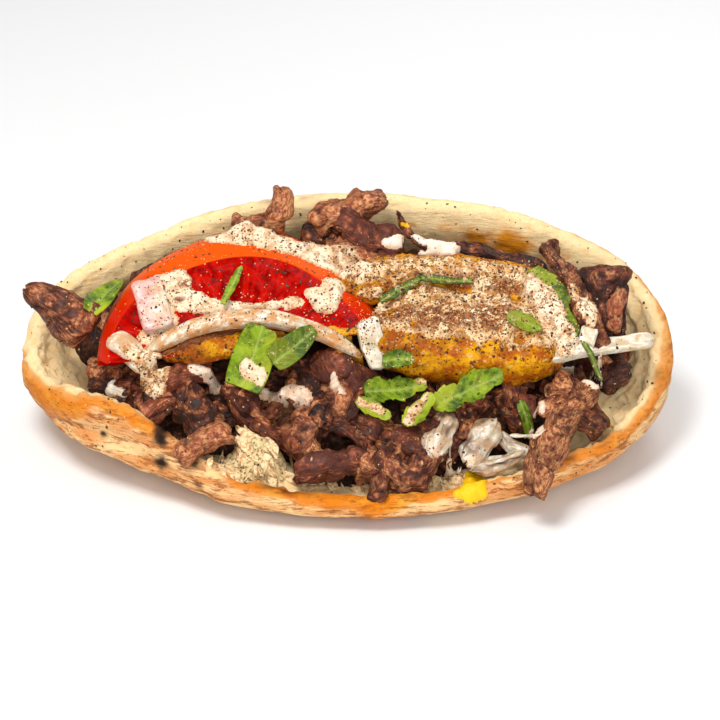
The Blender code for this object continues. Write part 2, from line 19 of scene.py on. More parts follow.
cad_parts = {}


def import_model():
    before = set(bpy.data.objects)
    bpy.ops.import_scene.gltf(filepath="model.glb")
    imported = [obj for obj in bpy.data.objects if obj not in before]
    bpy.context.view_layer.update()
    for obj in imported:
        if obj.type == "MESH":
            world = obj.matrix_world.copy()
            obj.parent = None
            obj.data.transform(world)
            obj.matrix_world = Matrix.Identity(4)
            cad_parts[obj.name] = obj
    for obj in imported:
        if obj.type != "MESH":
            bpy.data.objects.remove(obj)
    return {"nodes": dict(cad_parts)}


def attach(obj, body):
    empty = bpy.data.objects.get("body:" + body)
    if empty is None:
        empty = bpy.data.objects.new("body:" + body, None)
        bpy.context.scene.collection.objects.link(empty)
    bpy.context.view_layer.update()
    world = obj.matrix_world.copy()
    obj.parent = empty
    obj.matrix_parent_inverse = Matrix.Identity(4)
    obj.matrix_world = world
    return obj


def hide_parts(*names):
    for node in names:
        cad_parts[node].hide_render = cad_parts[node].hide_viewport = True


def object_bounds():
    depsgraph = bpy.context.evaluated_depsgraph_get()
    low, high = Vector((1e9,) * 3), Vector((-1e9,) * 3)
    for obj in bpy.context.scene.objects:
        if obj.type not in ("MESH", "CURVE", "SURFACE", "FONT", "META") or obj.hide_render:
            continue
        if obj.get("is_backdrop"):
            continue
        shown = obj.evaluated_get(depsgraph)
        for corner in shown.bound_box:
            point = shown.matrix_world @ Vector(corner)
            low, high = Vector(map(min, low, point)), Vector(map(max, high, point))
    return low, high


LOG = logging.getLogger("gyro")
MM = 0.001

Array = np.ndarray
Piece = bpy.types.Object
Material = bpy.types.Material
Output = bpy.types.NodeSocket
Triple = tuple[float, float, float]
Colour = tuple[float, float, float]
Area = tuple[float, float, float, float, int]
Socket = Union[Output, float, Sequence[float]]

TRAY_FOOT = np.array((0.0, -47.0, 8.0))
TRAY_SLOPE = math.radians(32.0)
TRAY_UP = np.array((0.0, math.cos(TRAY_SLOPE), math.sin(TRAY_SLOPE)))
TRAY_OUT = np.array((0.0, -math.sin(TRAY_SLOPE), math.cos(TRAY_SLOPE)))
X_AXIS = np.array((1.0, 0.0, 0.0))

CAMERA_ELEVATION = math.radians(30.0)
CAMERA_DISTANCE = 700.0
CAMERA_TARGET = (3.6, -8.0, 26.9)
CAMERA_LENS = 126.35
CAMERA_SENSOR = 36.0
CAMERA_CLIP = (0.01, 50.0)
FLOOR_REACH = 4.0
SKY_STRENGTH = 0.46

# Tray height where rays start, their length, and the height given where they meet nothing.
RAY_START, RAY_LENGTH, NO_GROUND = 60.0, 150.0, -30.0


class Slot(str, Enum):
    """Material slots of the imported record."""

    BREAD = "bread"
    MEAT = "meat"
    TOMATO = "tomato"
    AUBERGINE = "aubergine"
    ONION = "onion"
    LEAF = "leaf"


# ------------------------------------------------------------------ places and noise


def tray(u: Array, w: Array, h: Array) -> Array:
    """World points at tray coordinates."""
    u, w, h = np.broadcast_arrays(u, w, h)
    return TRAY_FOOT + u[..., None] * X_AXIS + w[..., None] * TRAY_UP + h[..., None] * TRAY_OUT


def in_tray(points: Array) -> tuple[Array, Array, Array]:
    """Tray coordinates of world points."""
    offset = points - TRAY_FOOT
    return offset[..., 0], offset @ TRAY_UP, offset @ TRAY_OUT


def bell(value: Array, middle: float, spread: float) -> Array:
    """A bump of height 1 at the middle."""
    return np.exp(-(((value - middle) / spread) ** 2))


def gate(value: Array, steepness: float = 1.0) -> Array:
    """A smooth step from 0 to 1 round a value of 0."""
    return 1 / (1 + np.exp(-np.clip(value * steepness, -60, 60)))


def signed_power(value: Array, power: float) -> Array:
    """A power that keeps its sign."""
    return np.sign(value) * np.abs(value) ** power


def corner_values(x: Array, y: Array, z: Array, seed: int) -> Array:
    """Repeatable values between -1 and 1 at whole-number places.

    Args:
        x: First coordinates.
        y: Second coordinates.
        z: Third coordinates.
        seed: Picks another set of values.

    Returns:
        One value for each place.
    """
    mixed = x * 73856093 ^ y * 19349663 ^ z * 83492791 ^ (seed * 2654435 + 97)
    mixed = (mixed ^ (mixed >> 13)) * 1274126177
    return ((mixed ^ (mixed >> 16)) & 0xFFFF) / 32767.5 - 1


def smooth_noise(points: Array, size: float, seed: int = 0) -> Array:
    """Smooth noise for many points at once.

    Args:
        points: Places, with a last axis of 3.
        size: Size of one lump.
        seed: Picks another pattern.

    Returns:
        Values between -1 and 1.
    """
    place = points / size + seed * 7.31
    low = np.floor(place).astype(np.int64)
    part = place - low
    part = part * part * (3 - 2 * part)
    total = np.zeros(points.shape[:-1])
    for dx in (0, 1):
        for dy in (0, 1):
            for dz in (0, 1):
                share = (part[..., 0] if dx else 1 - part[..., 0])
                share = share * (part[..., 1] if dy else 1 - part[..., 1])
                share = share * (part[..., 2] if dz else 1 - part[..., 2])
                total += share * corner_values(low[..., 0] + dx, low[..., 1] + dy, low[..., 2] + dz, seed)
    return total


def fractal(points: Array, size: float, octaves: int = 3, seed: int = 0) -> Array:
    """Noise with finer and finer lumps.

    Args:
        points: Places, with a last axis of 3.
        size: Size of the largest lumps.
        octaves: How many sizes there are, each half the last.
        seed: Picks another pattern.

    Returns:
        Values, most of them between -1 and 1.
    """
    turned = points @ np.array(((0.8, 0.36, -0.48), (-0.6, 0.48, -0.64), (0.0, 0.8, 0.6)))
    total = np.zeros(points.shape[:-1])
    for octave in range(octaves):
        total += smooth_noise(turned, size / 2**octave, seed + octave) / 1.8**octave
    return total / 1.2


def soft_perlin(points: Array) -> Array:
    """The same noise that shapes the solids, for many points.

    Args:
        points: Places, with a last axis of 3.

    Returns:
        Values between about -1 and 1.
    """
    flat = points.reshape(-1, 3)
    values = np.fromiter((noise.noise(p) for p in flat.tolist()), float, len(flat))
    return values.reshape(points.shape[:-1])


# ------------------------------------------------------------------ meshes


def shell_faces(rows: int, columns: int) -> Array:
    """Quads that join rings of points into a tube.

    Args:
        rows: How many rings.
        columns: How many points in each.

    Returns:
        Indices of four corners for each quad.
    """
    index = np.arange(rows * columns).reshape(rows, columns)
    right = np.roll(index, -1, axis=1)
    return np.stack((index[:-1], right[:-1], right[1:], index[1:]), -1).reshape(-1, 4)


def cell_corners(grid: Array) -> Array:
    """Values at the four corners of every cell of a grid, along the first axis."""
    return np.stack((grid[:-1, :-1], grid[1:, :-1], grid[1:, 1:], grid[:-1, 1:]))


def closed_shell(rings: Array) -> tuple[Array, list]:
    """A closed surface over rings, with a fan at either end.

    Args:
        rings: Points as rows of rings, with a last axis of 3.

    Returns:
        The points and the faces.
    """
    rows, columns = rings.shape[:2]
    points = np.concatenate((rings.reshape(-1, 3), rings[0].mean(0)[None], rings[-1].mean(0)[None]))
    faces = shell_faces(rows, columns).tolist()
    first, last = rows * columns, rows * columns + 1
    end = (rows - 1) * columns
    for i in range(columns):
        after = (i + 1) % columns
        faces.append([first, after, i])
        faces.append([last, end + i, end + after])
    return points, faces


def with_ends(values: Array) -> Array:
    """Values at a closed surface's points, from the values at its rings."""
    return np.concatenate((values.reshape(-1, *values.shape[2:]), values[0, :1], values[-1, :1]))


def signed_volume(points: Array, faces: Sequence[Sequence[int]]) -> float:
    """Six times the volume that faces enclose, negative if they point inwards.

    Args:
        points: The points.
        faces: Triangles and quads.

    Returns:
        The signed volume.
    """
    corners = np.array([f[:3] for f in faces] + [[f[0], *f[2:]] for f in faces if len(f) == 4])
    a, b, c = points[corners[:, 0]], points[corners[:, 1]], points[corners[:, 2]]
    return float((a * np.cross(b, c)).sum())


@dataclass
class Lump:
    """Points and faces in the making, with values for the finish at every point.

    Attributes:
        points: Points in millimetres.
        faces: Corner indices.
        fields: Values or vectors at the points, by name.
    """

    points: Array
    faces: list
    fields: dict[str, Array]

    @staticmethod
    def joined(lumps: Sequence["Lump"]) -> "Lump":
        """Puts lumps together as one.

        Args:
            lumps: Lumps with the same fields.

        Returns:
            One lump.
        """
        faces, start = [], 0
        for lump in lumps:
            faces += [[start + i for i in face] for face in lump.faces]
            start += len(lump.points)
        fields = {n: np.concatenate([lump.fields[n] for lump in lumps]) for n in lumps[0].fields}
        return Lump(np.concatenate([lump.points for lump in lumps]), faces, fields)

    def outward(self) -> "Lump":
        """Turns the faces so that they point out.

        Returns:
            The lump itself.
        """
        if signed_volume(self.points - self.points.mean(0), self.faces) < 0:
            self.faces = [face[::-1] for face in self.faces]
        return self

    def piece(self, name: str, finish: Material, slot: Optional[Slot] = None,
              nodes: Iterable[str] = ()) -> Piece:
        """Makes the lump a piece of the object.

        Args:
            name: The piece's name.
            finish: Its material.
            slot: The record's material slot, if it has one; not used.
            nodes: The solids that it stands for.

        Returns:
            The new object.
        """
        mesh = bpy.data.meshes.new(name)
        mesh.from_pydata((self.points * MM).tolist(), [], self.faces)
        for field_name, values in self.fields.items():
            kind, key = ("FLOAT_VECTOR", "vector") if values.ndim == 2 else ("FLOAT", "value")
            stored = mesh.attributes.new(field_name, kind, "POINT").data
            stored.foreach_set(key, values.astype(np.float32).ravel())
        mesh.shade_smooth()
        mesh.materials.append(finish)
        made = bpy.data.objects.new(name, mesh)
        bpy.context.scene.collection.objects.link(made)
        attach(made, "root")
        for node in nodes:
            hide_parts(node)
        return made


class Surface:
    """Finds what lies on top of the pile by casting rays onto meshes."""

    def __init__(self, objects: Sequence[Piece]) -> None:
        """Reads the meshes.

        Args:
            objects: The objects to cast onto, in metres.
        """
        points, triangles, start = [], [], 0
        self.names, self.ends = [], []
        for obj in objects:
            mesh = obj.data
            mesh.calc_loop_triangles()
            place = np.empty(len(mesh.vertices) * 3)
            mesh.vertices.foreach_get("co", place)
            corners = np.empty(len(mesh.loop_triangles) * 3, dtype=np.int32)
            mesh.loop_triangles.foreach_get("vertices", corners)
            points.append(place.reshape(-1, 3) / MM)
            triangles.append(corners.reshape(-1, 3) + start)
            start += len(mesh.vertices)
            self.names.append(obj.name)
            self.ends.append((self.ends[-1] if self.ends else 0) + len(mesh.loop_triangles))
        self.tree = BVHTree.FromPolygons(np.concatenate(points).tolist(), np.concatenate(triangles).tolist())

    def hit(self, u: float, w: float) -> Optional[tuple[Vector, Vector, str, float]]:
        """Casts a ray into the mouth.

        Args:
            u: Tray coordinate of the ray.
            w: Tray coordinate of the ray.

        Returns:
            The place, its normal, the object's name and its height, or nothing.
        """
        start = Vector(TRAY_FOOT + u * X_AXIS + w * TRAY_UP + RAY_START * TRAY_OUT)
        place, normal, index, _ = self.tree.ray_cast(start, Vector(-TRAY_OUT), RAY_LENGTH)
        if place is None:
            return None
        name = self.names[int(np.searchsorted(self.ends, index, side="right"))]
        return place, normal, name, RAY_START - (start - place).length

    def heights(self, u: Array, w: Array, missing: float = NO_GROUND) -> Array:
        """Heights of the pile at many places."""
        found = [self.hit(a, b) for a, b in zip(u.ravel().tolist(), w.ravel().tolist())]
        return np.array([f[3] if f else missing for f in found]).reshape(u.shape)


# ------------------------------------------------------------------ finishes


def rgb(red: int, green: int, blue: int) -> Colour:
    """A screen colour as linear light."""
    return tuple((c / 255 / 12.92) if c < 10.3 else ((c / 255 + 0.055) / 1.055) ** 2.4 for c in (red, green, blue))


SPICE_TONES = (rgb(184, 118, 44), rgb(58, 30, 12))


class Graph:
    """Builds one material's nodes."""

    def __init__(self, name: str) -> None:
        """Starts a material with an empty Principled shader.

        Args:
            name: The material's name.
        """
        self.material = bpy.data.materials.new(name)
        self.material.use_nodes = True
        self.tree = self.material.node_tree
        self.shader = self.tree.nodes["Principled BSDF"]
        self.place = self.add("ShaderNodeTexCoord").outputs["Object"]

    def add(self, kind: str, inputs: Optional[dict] = None, **settings: object) -> bpy.types.Node:
        """Adds a node.

        Args:
            kind: The node's type.
            inputs: Sockets or constants, by input name or number.
            **settings: Properties of the node.

        Returns:
            The new node.
        """
        node = self.tree.nodes.new(kind)
        for name, value in settings.items():
            setattr(node, name, value)
        for key, value in (inputs or {}).items():
            self.plug(node.inputs[key], value)
        return node

    def plug(self, socket: Output, value: Socket) -> None:
        """Links a socket to a node's output or sets its constant.

        Args:
            socket: The input.
            value: An output, a number or a colour.
        """
        if isinstance(value, Output):
            self.tree.links.new(value, socket)
        elif socket.type == "RGBA" and len(value) == 3:
            socket.default_value = (*value, 1.0)
        else:
            socket.default_value = value

    def field(self, name: str, output: str = "Fac") -> Output:
        """A value stored at the mesh's points."""
        return self.add("ShaderNodeAttribute", attribute_name=name).outputs[output]

    def strands(self, size: float, detail: float, rough: float) -> Output:
        """Noise along the grain that the mesh's points hold."""
        return self.speckle(size, detail, rough, self.field("grain", "Vector"), 1.0)

    def speckle(self, size: float, detail: float = 3.0, rough: float = 0.55, place: Optional[Socket] = None,
                unit: float = MM) -> Output:
        """Noise of a real size."""
        inputs = {"Vector": place or self.place, "Scale": 1 / (size * unit), "Detail": detail, "Roughness": rough}
        return self.add("ShaderNodeTexNoise", inputs).outputs["Fac"]

    def dust(self, colour: Socket, size: float, share: float, radius: float,
             tones: tuple[Colour, Colour] = SPICE_TONES) -> tuple[Output, Output]:
        """A colour with scattered flecks of ground spice over it.

        Args:
            colour: The colour below the flecks.
            size: Distance between places that may hold a fleck, in millimetres.
            share: Share of the places that hold one.
            radius: A fleck's radius as a share of that distance.
            tones: The two colours between which the flecks vary.

        Returns:
            The colour, and where the flecks are.
        """
        wobble = self.add("ShaderNodeTexNoise", {"Vector": self.place, "Scale": 0.8 / (size * MM), "Detail": 1.0})
        moved = self.add("ShaderNodeVectorMath", {0: wobble.outputs["Color"], 1: (0.7 * size * MM,) * 3},
                         operation="MULTIPLY")
        place = self.add("ShaderNodeVectorMath", {0: self.place, 1: moved.outputs[0]}, operation="ADD")
        node = self.add("ShaderNodeTexVoronoi", {"Vector": place.outputs[0], "Scale": 1 / (size * MM)})
        own = self.add("ShaderNodeSeparateColor", {"Color": node.outputs["Color"]})
        clumps = self.ramp(self.speckle(4.5 * size, 3), 0.38, 0.64)
        bare = self.math("SUBTRACT", own.outputs[0], self.times(clumps, 1.7 * share))
        held = self.ramp(bare, 0.02, -0.02)
        near = self.ramp(node.outputs["Distance"], radius + 0.07, radius - 0.07)
        where = self.times(held, near)
        return self.mix(where, colour, self.mix(self.ramp(own.outputs[1], 0.4, 0.8), *tones)), where

    def ramp(self, value: Socket, low: float, high: float) -> Output:
        """A smooth step from 0 at low to 1 at high."""
        inputs = {"Value": value, "From Min": low, "From Max": high}
        return self.add("ShaderNodeMapRange", inputs, interpolation_type="SMOOTHSTEP").outputs["Result"]

    def math(self, operation: str, a: Socket, b: Socket) -> Output:
        """Arithmetic on two values."""
        return self.add("ShaderNodeMath", {0: a, 1: b}, operation=operation).outputs[0]

    def plus(self, a: Socket, b: Socket) -> Output:
        """The sum of two values."""
        return self.math("ADD", a, b)

    def times(self, a: Socket, b: Socket) -> Output:
        """The product of two values."""
        return self.math("MULTIPLY", a, b)

    def tint(self, colour: Socket, where: Socket, share: float, over: Socket) -> Output:
        """A colour with a share of another over it, where a value says so."""
        return self.mix(self.times(where, share), colour, over)

    def mix(self, share: Socket, a: Socket, b: Socket) -> Output:
        """A blend of two colours."""
        node = self.add("ShaderNodeMix", {0: share, 6: a, 7: b}, data_type="RGBA")
        return node.outputs[2]

    def bump(self, height: Socket, depth: float, under: Optional[Socket] = None) -> Output:
        """Fine relief.

        Args:
            height: Its height, from 0 to 1.
            depth: Its depth in millimetres.
            under: The normal of coarser relief below it.

        Returns:
            The new normal.
        """
        inputs = {"Height": height, "Distance": depth * MM, "Strength": 1.0}
        if under is not None:
            inputs["Normal"] = under
        return self.add("ShaderNodeBump", inputs).outputs["Normal"]

    def finish(self, **inputs: Socket) -> Material:
        """Sets the shader's inputs.

        Args:
            **inputs: Values by input name, with _ for each space.

        Returns:
            The material.
        """
        for name, value in inputs.items():
            self.plug(self.shader.inputs[name.replace("_", " ")], value)
        return self.material


@dataclass(frozen=True)
class BreadFinish:
    """Baked crust and cream crumb of a pita.

    Attributes:
        flour: Pale floury crust.
        crust: Plain crust.
        gold: The crust where it caught the heat.
        brown: Toasted patches.
        char: Burnt spots.
        mottle: Fine brown mottling.
        baked: Broad, evenly baked patches at the back.
        crumb: The inside.
        shade: Darker crumb in a random mottle, and painted shade deep in its pores.
        sauce: Yellow sauce that has soaked in.
    """

    flour: Colour = rgb(246, 202, 142)
    crust: Colour = rgb(220, 148, 84)
    gold: Colour = rgb(222, 124, 8)
    brown: Colour = rgb(142, 72, 24)
    char: Colour = rgb(30, 18, 14)
    mottle: Colour = rgb(168, 96, 52)
    baked: Colour = rgb(188, 108, 50)
    crumb: Colour = rgb(252, 221, 168)
    shade: Colour = rgb(246, 204, 142)
    sauce: Colour = rgb(222, 140, 30)

    REAR_DEPTH = 30 * MM

    def build(self) -> Material:
        """Makes the material.

        Returns:
            The material.
        """
        g = Graph("bread")
        patch, fine = g.speckle(9.0, 4, 0.6), g.speckle(0.5, 4, 0.7)
        drawn = g.add("ShaderNodeMapping", {"Vector": g.place, "Scale": (0.28, 0.36, 1.5)}).outputs[0]
        streak = g.speckle(2.0, 5, 0.68, drawn)
        wide = g.speckle(5.5, 5, 0.62, drawn)
        crust = g.mix(g.ramp(wide, 0.4, 0.6), self.flour, self.crust)
        # The back is baked more evenly, with softer streaks.
        rear = g.ramp(g.add("ShaderNodeSeparateXYZ", {0: g.place}).outputs[1], 0.0, self.REAR_DEPTH)
        drawn_share = g.math("SUBTRACT", 1.0, g.times(rear, 0.62))
        toasted = g.times(g.ramp(streak, 0.5, 0.6), g.ramp(g.speckle(16.0, 3), 0.24, 0.54))
        crust = g.mix(g.times(toasted, g.times(drawn_share, 0.85)), crust, self.brown)
        baked = g.times(g.ramp(g.speckle(11.0, 5, 0.6), 0.5, 0.68), g.times(rear, 0.6))
        crust = g.mix(baked, crust, self.baked)
        mottle = g.ramp(g.speckle(1.0, 5, 0.78, drawn), 0.5, 0.6)
        crust = g.mix(g.times(mottle, g.times(drawn_share, 0.45)), crust, self.mottle)
        crust = g.tint(crust, g.ramp(fine, 0.52, 0.66), 0.3, self.flour)
        golden = g.tint(self.gold, g.ramp(patch, 0.5, 0.66), 0.6, rgb(240, 172, 58))
        golden = g.tint(golden, g.ramp(g.speckle(2.6, 5, 0.66), 0.54, 0.66), 0.5, rgb(178, 92, 20))
        golden = g.tint(golden, g.ramp(streak, 0.54, 0.64), 0.5, self.brown)
        golden = g.tint(golden, mottle, 0.35, rgb(150, 74, 14))
        gold = g.times(g.field("gold"), g.ramp(g.plus(wide, g.field("gold")), 0.9, 1.15))
        crust = g.mix(gold, crust, golden)
        crumb = g.mix(g.ramp(g.speckle(3.4, 5, 0.72), 0.46, 0.72), self.crumb, self.shade)
        crumb = g.tint(crumb, g.ramp(g.speckle(1.3, 3, 0.7), 0.6, 0.7), 0.4, rgb(204, 152, 72))
        # Painted shade in the pores and hollows of the crumb.
        crumb = g.tint(crumb, g.field("deep"), 0.5, self.shade)
        pores = g.ramp(g.speckle(0.9, 4, 0.7), 0.34, 0.46)
        crumb = g.mix(g.field("torn"), crumb, g.mix(pores, rgb(170, 128, 74), rgb(236, 208, 154)))
        crumb = g.tint(crumb, g.ramp(g.field("crust"), 0.0, 0.3), 0.7, rgb(224, 152, 64))
        stain = g.plus(g.field("stain"), g.times(g.ramp(streak, 0.35, 0.75), 0.25))
        crumb = g.mix(g.ramp(stain, 0.4, 1.0), crumb, self.sauce)
        crumb, _ = g.dust(crumb, 2.6, 0.07, 0.17)
        both = g.mix(g.field("crust"), crumb, crust)
        both = g.mix(g.field("char"), both, self.char)
        normal = g.bump(g.speckle(1.3, 5, 0.65, drawn), 0.5)
        normal = g.bump(g.times(pores, g.field("torn")), 0.7, g.bump(fine, 0.2, normal))
        return g.finish(Base_Color=both, Roughness=g.ramp(patch, 1.6, -0.3), Normal=normal, Specular_IOR_Level=0.12,
                        Subsurface_Weight=0.15, Subsurface_Radius=(1.0, 0.7, 0.4), Subsurface_Scale=2.0 * MM)


@dataclass(frozen=True)
class MeatFinish:
    """Seared sliced meat with its grain along each slice.

    Attributes:
        dark: Between the fibres and where it's seared; also painted shade deep between slices and in creases.
        body: The meat.
        pale: Painted highlight on fibres that catch the light.
        pink: The pinkish meat of less seared slices.
    """

    dark: Colour = rgb(28, 11, 7)
    body: Colour = rgb(138, 68, 34)
    pale: Colour = rgb(232, 164, 108)
    pink: Colour = rgb(196, 96, 66)

    def build(self) -> Material:
        """Makes the material.

        Returns:
            The material.
        """
        g = Graph("meat")
        fibres = g.strands(0.7, 5, 0.7)
        blotch, fine, grit = g.speckle(3.2, 3, 0.55), g.speckle(0.55, 3, 0.7), g.speckle(1.3, 4, 0.7)
        tone = g.plus(g.times(fibres, 0.5), g.times(blotch, 0.34))
        tone = g.plus(tone, g.times(g.field("tone"), 0.14))
        colour = g.mix(g.ramp(tone, 0.4, 0.55), self.dark, self.body)
        colour = g.mix(g.times(g.field("pink"), 0.75), colour, g.mix(fibres, colour, self.pink))
        threads = g.strands(0.4, 3, 0.6)
        # Painted highlight on the raised threads of fibre.
        lit = g.times(g.ramp(tone, 0.47, 0.6), g.ramp(threads, 0.4, 0.56))
        colour = g.tint(colour, lit, 0.85, self.pale)
        colour = g.tint(colour, g.ramp(grit, 0.42, 0.34), 0.5, self.dark)
        # Painted shade deep between the slices and in the creases of their relief.
        colour = g.tint(colour, g.field("deep"), 0.9, self.dark)
        colour, _ = g.dust(colour, 2.3, 0.14, 0.16, (rgb(226, 168, 110), rgb(150, 84, 40)))
        normal = g.bump(threads, 0.35, g.bump(grit, 0.25, g.bump(fibres, 0.9)))
        rough = g.math("MAXIMUM", g.ramp(fine, 0.9, 0.1), g.field("deep"))
        return g.finish(Base_Color=colour, Roughness=rough, Normal=normal, Specular_IOR_Level=0.3, Coat_Weight=0.04,
                        Coat_Roughness=0.2)


@dataclass(frozen=True)
class TomatoFinish:
    """Wet tomato flesh inside an orange-red skin.

    Attributes:
        skin: The skin, low on the slice.
        warm: The skin where it is more orange.
        flesh: The cut flesh.
        deep: The flesh between its fibres.
        pale: Its pale fibres.
    """

    skin: Colour = rgb(202, 32, 2)
    warm: Colour = rgb(222, 82, 10)
    flesh: Colour = rgb(182, 8, 0)
    deep: Colour = rgb(112, 0, 0)
    pale: Colour = rgb(214, 40, 6)

    def build(self) -> Material:
        """Makes the material.

        Returns:
            The material.
        """
        g = Graph("tomato")
        blotch, fine = g.speckle(7.0, 3), g.speckle(0.5, 3, 0.6)
        streak = g.strands(1.0, 4, 0.6)
        skin = g.mix(g.ramp(g.plus(g.field("warm"), g.times(blotch, 0.6)), 0.45, 0.95), self.skin, self.warm)
        flesh = g.mix(g.ramp(streak, 0.3, 0.6), self.deep, self.flesh)
        flesh = g.tint(flesh, g.ramp(streak, 0.56, 0.75), 0.7, self.pale)
        colour = g.mix(g.field("cut"), skin, flesh)
        colour, _ = g.dust(colour, 1.9, 0.12, 0.15, (rgb(240, 150, 80), rgb(90, 30, 10)))
        normal = g.bump(fine, 0.08, g.bump(streak, 0.2))
        return g.finish(Base_Color=colour, Roughness=0.2, Normal=normal, Specular_IOR_Level=0.03)


@dataclass(frozen=True)
class SauceFinish:
    """A thick sauce dusted with ground spice.

    Attributes:
        name: The material's name.
        body: Its colour.
        stain: Its colour where spice or juice has run into it.
        dusted: How much of it the spice covers, from 0 to 1.
    """

    name: str
    body: Colour
    stain: Colour = rgb(226, 166, 108)
    dusted: float = 0.3

    def build(self) -> Material:
        """Makes the material.

        Returns:
            The material.
        """
        g = Graph(self.name)
        cloud, fine = g.speckle(4.0, 5, 0.65), g.speckle(0.5, 4, 0.75)
        soaked = g.plus(g.ramp(cloud, 0.42, 0.72), g.times(g.ramp(fine, 0.4, 0.7), 0.5))
        colour = g.tint(self.body, soaked, 0.2 + 0.7 * self.dusted, self.stain)
        colour = g.tint(colour, g.field("thin"), 0.55, self.stain)
        clots = g.times(g.ramp(g.speckle(2.8, 5, 0.72), 0.5, 0.58), 0.9 * self.dusted)
        colour = g.mix(clots, colour, rgb(176, 116, 42))
        dark = g.times(g.ramp(g.speckle(1.7, 4, 0.72), 0.56, 0.62), 0.9 * self.dusted)
        colour = g.mix(dark, colour, rgb(96, 56, 22))
        gaps = g.plus(g.speckle(2.2, 4, 0.7), g.times(g.speckle(0.7, 2), 0.3))
        heap = g.times(g.field("spice"), g.ramp(gaps, 0.56, 0.64))
        heaped = g.mix(g.ramp(g.speckle(0.8, 3, 0.7), 0.42, 0.58), rgb(166, 88, 26), rgb(78, 38, 12))
        colour = g.mix(heap, colour, heaped)
        colour, near = g.dust(colour, 0.75, 0.7 * self.dusted, 0.34)
        colour, far = g.dust(colour, 1.7, 0.45 * self.dusted, 0.24, (rgb(120, 64, 28), rgb(50, 26, 14)))
        normal = g.bump(g.speckle(1.4, 4, 0.65), 0.4)
        normal = g.bump(g.plus(near, far), 0.15, normal)
        return g.finish(Base_Color=colour, Roughness=0.45, Normal=normal, Specular_IOR_Level=0.3,
                        Subsurface_Weight=0.12, Subsurface_Radius=(1.0, 0.8, 0.6), Subsurface_Scale=0.8 * MM)


@dataclass(frozen=True)
class AubergineFinish:
    """Fried aubergine soaked with a yellow sauce, and brown where it was fried.

    Attributes:
        yellow: The sauce.
        amber: The sauce where it is thin.
        brown: Fried flesh, and painted shade in its pits.
    """

    yellow: Colour = rgb(232, 162, 0)
    amber: Colour = rgb(180, 88, 0)
    brown: Colour = rgb(92, 44, 10)

    def build(self) -> Material:
        """Makes the material.

        Returns:
            The material.
        """
        g = Graph("aubergine")
        cloud, crumbs = g.speckle(4.5, 5, 0.65), g.speckle(1.1, 5, 0.72)
        colour = g.mix(g.ramp(cloud, 0.4, 0.6), self.yellow, self.amber)
        colour = g.tint(colour, g.ramp(crumbs, 0.52, 0.64), 0.75, self.brown)
        colour = g.tint(colour, g.ramp(g.speckle(1.7, 3), 0.6, 0.7), 0.5, rgb(246, 214, 130))
        # Painted shade in the pits of the relief.
        colour = g.tint(colour, g.field("deep"), 0.7, self.brown)
        fried = g.mix(g.ramp(crumbs, 0.38, 0.62), rgb(64, 30, 8), self.amber)
        colour = g.mix(g.field("fried"), colour, fried)
        colour, near = g.dust(colour, 0.8, 0.35, 0.34)
        colour, far = g.dust(colour, 1.9, 0.4, 0.26, (rgb(110, 60, 20), rgb(36, 22, 12)))
        normal = g.bump(crumbs, 0.6)
        normal = g.bump(g.plus(near, far), 0.15, normal)
        return g.finish(Base_Color=colour, Roughness=0.36, Normal=normal, Specular_IOR_Level=0.15,
                        Coat_Weight=0.05, Coat_Roughness=0.15)


@dataclass(frozen=True)
class OnionFinish:
    """Raw onion, translucent and faintly lined.

    Attributes:
        flesh: Its colour.
        line: The colour of its lines.
        edge: The colour of its outer skin.
    """

    flesh: Colour = rgb(240, 236, 220)
    line: Colour = rgb(206, 186, 148)
    edge: Colour = rgb(206, 120, 128)

    def build(self) -> Material:
        """Makes the material.

        Returns:
            The material.
        """
        g = Graph("onion")
        lines = g.strands(1.0, 3, 0.6)
        colour = g.mix(g.ramp(lines, 0.38, 0.62), self.flesh, self.line)
        colour = g.mix(g.ramp(g.speckle(4.0, 4), 0.45, 0.65), colour, g.mix(0.3, colour, rgb(160, 160, 146)))
        dusty = g.times(g.ramp(g.speckle(3.0, 5, 0.7), 0.38, 0.58), g.field("dusty"))
        colour = g.mix(dusty, colour, rgb(200, 142, 84))
        colour = g.mix(g.field("pink"), colour, self.edge)
        # Painted shade in the creases of the relief and over the onion low in the pile.
        colour = g.mix(g.field("deep"), colour, rgb(92, 62, 44))
        colour, _ = g.dust(colour, 1.5, 0.2, 0.22)
        normal = g.bump(lines, 0.2)
        return g.finish(Base_Color=colour, Roughness=0.3, Normal=normal, Specular_IOR_Level=0.45, Coat_Weight=0.2,
                        Coat_Roughness=0.1, Subsurface_Weight=0.3, Subsurface_Radius=(1.0, 0.9, 0.7),
                        Subsurface_Scale=1.5 * MM)


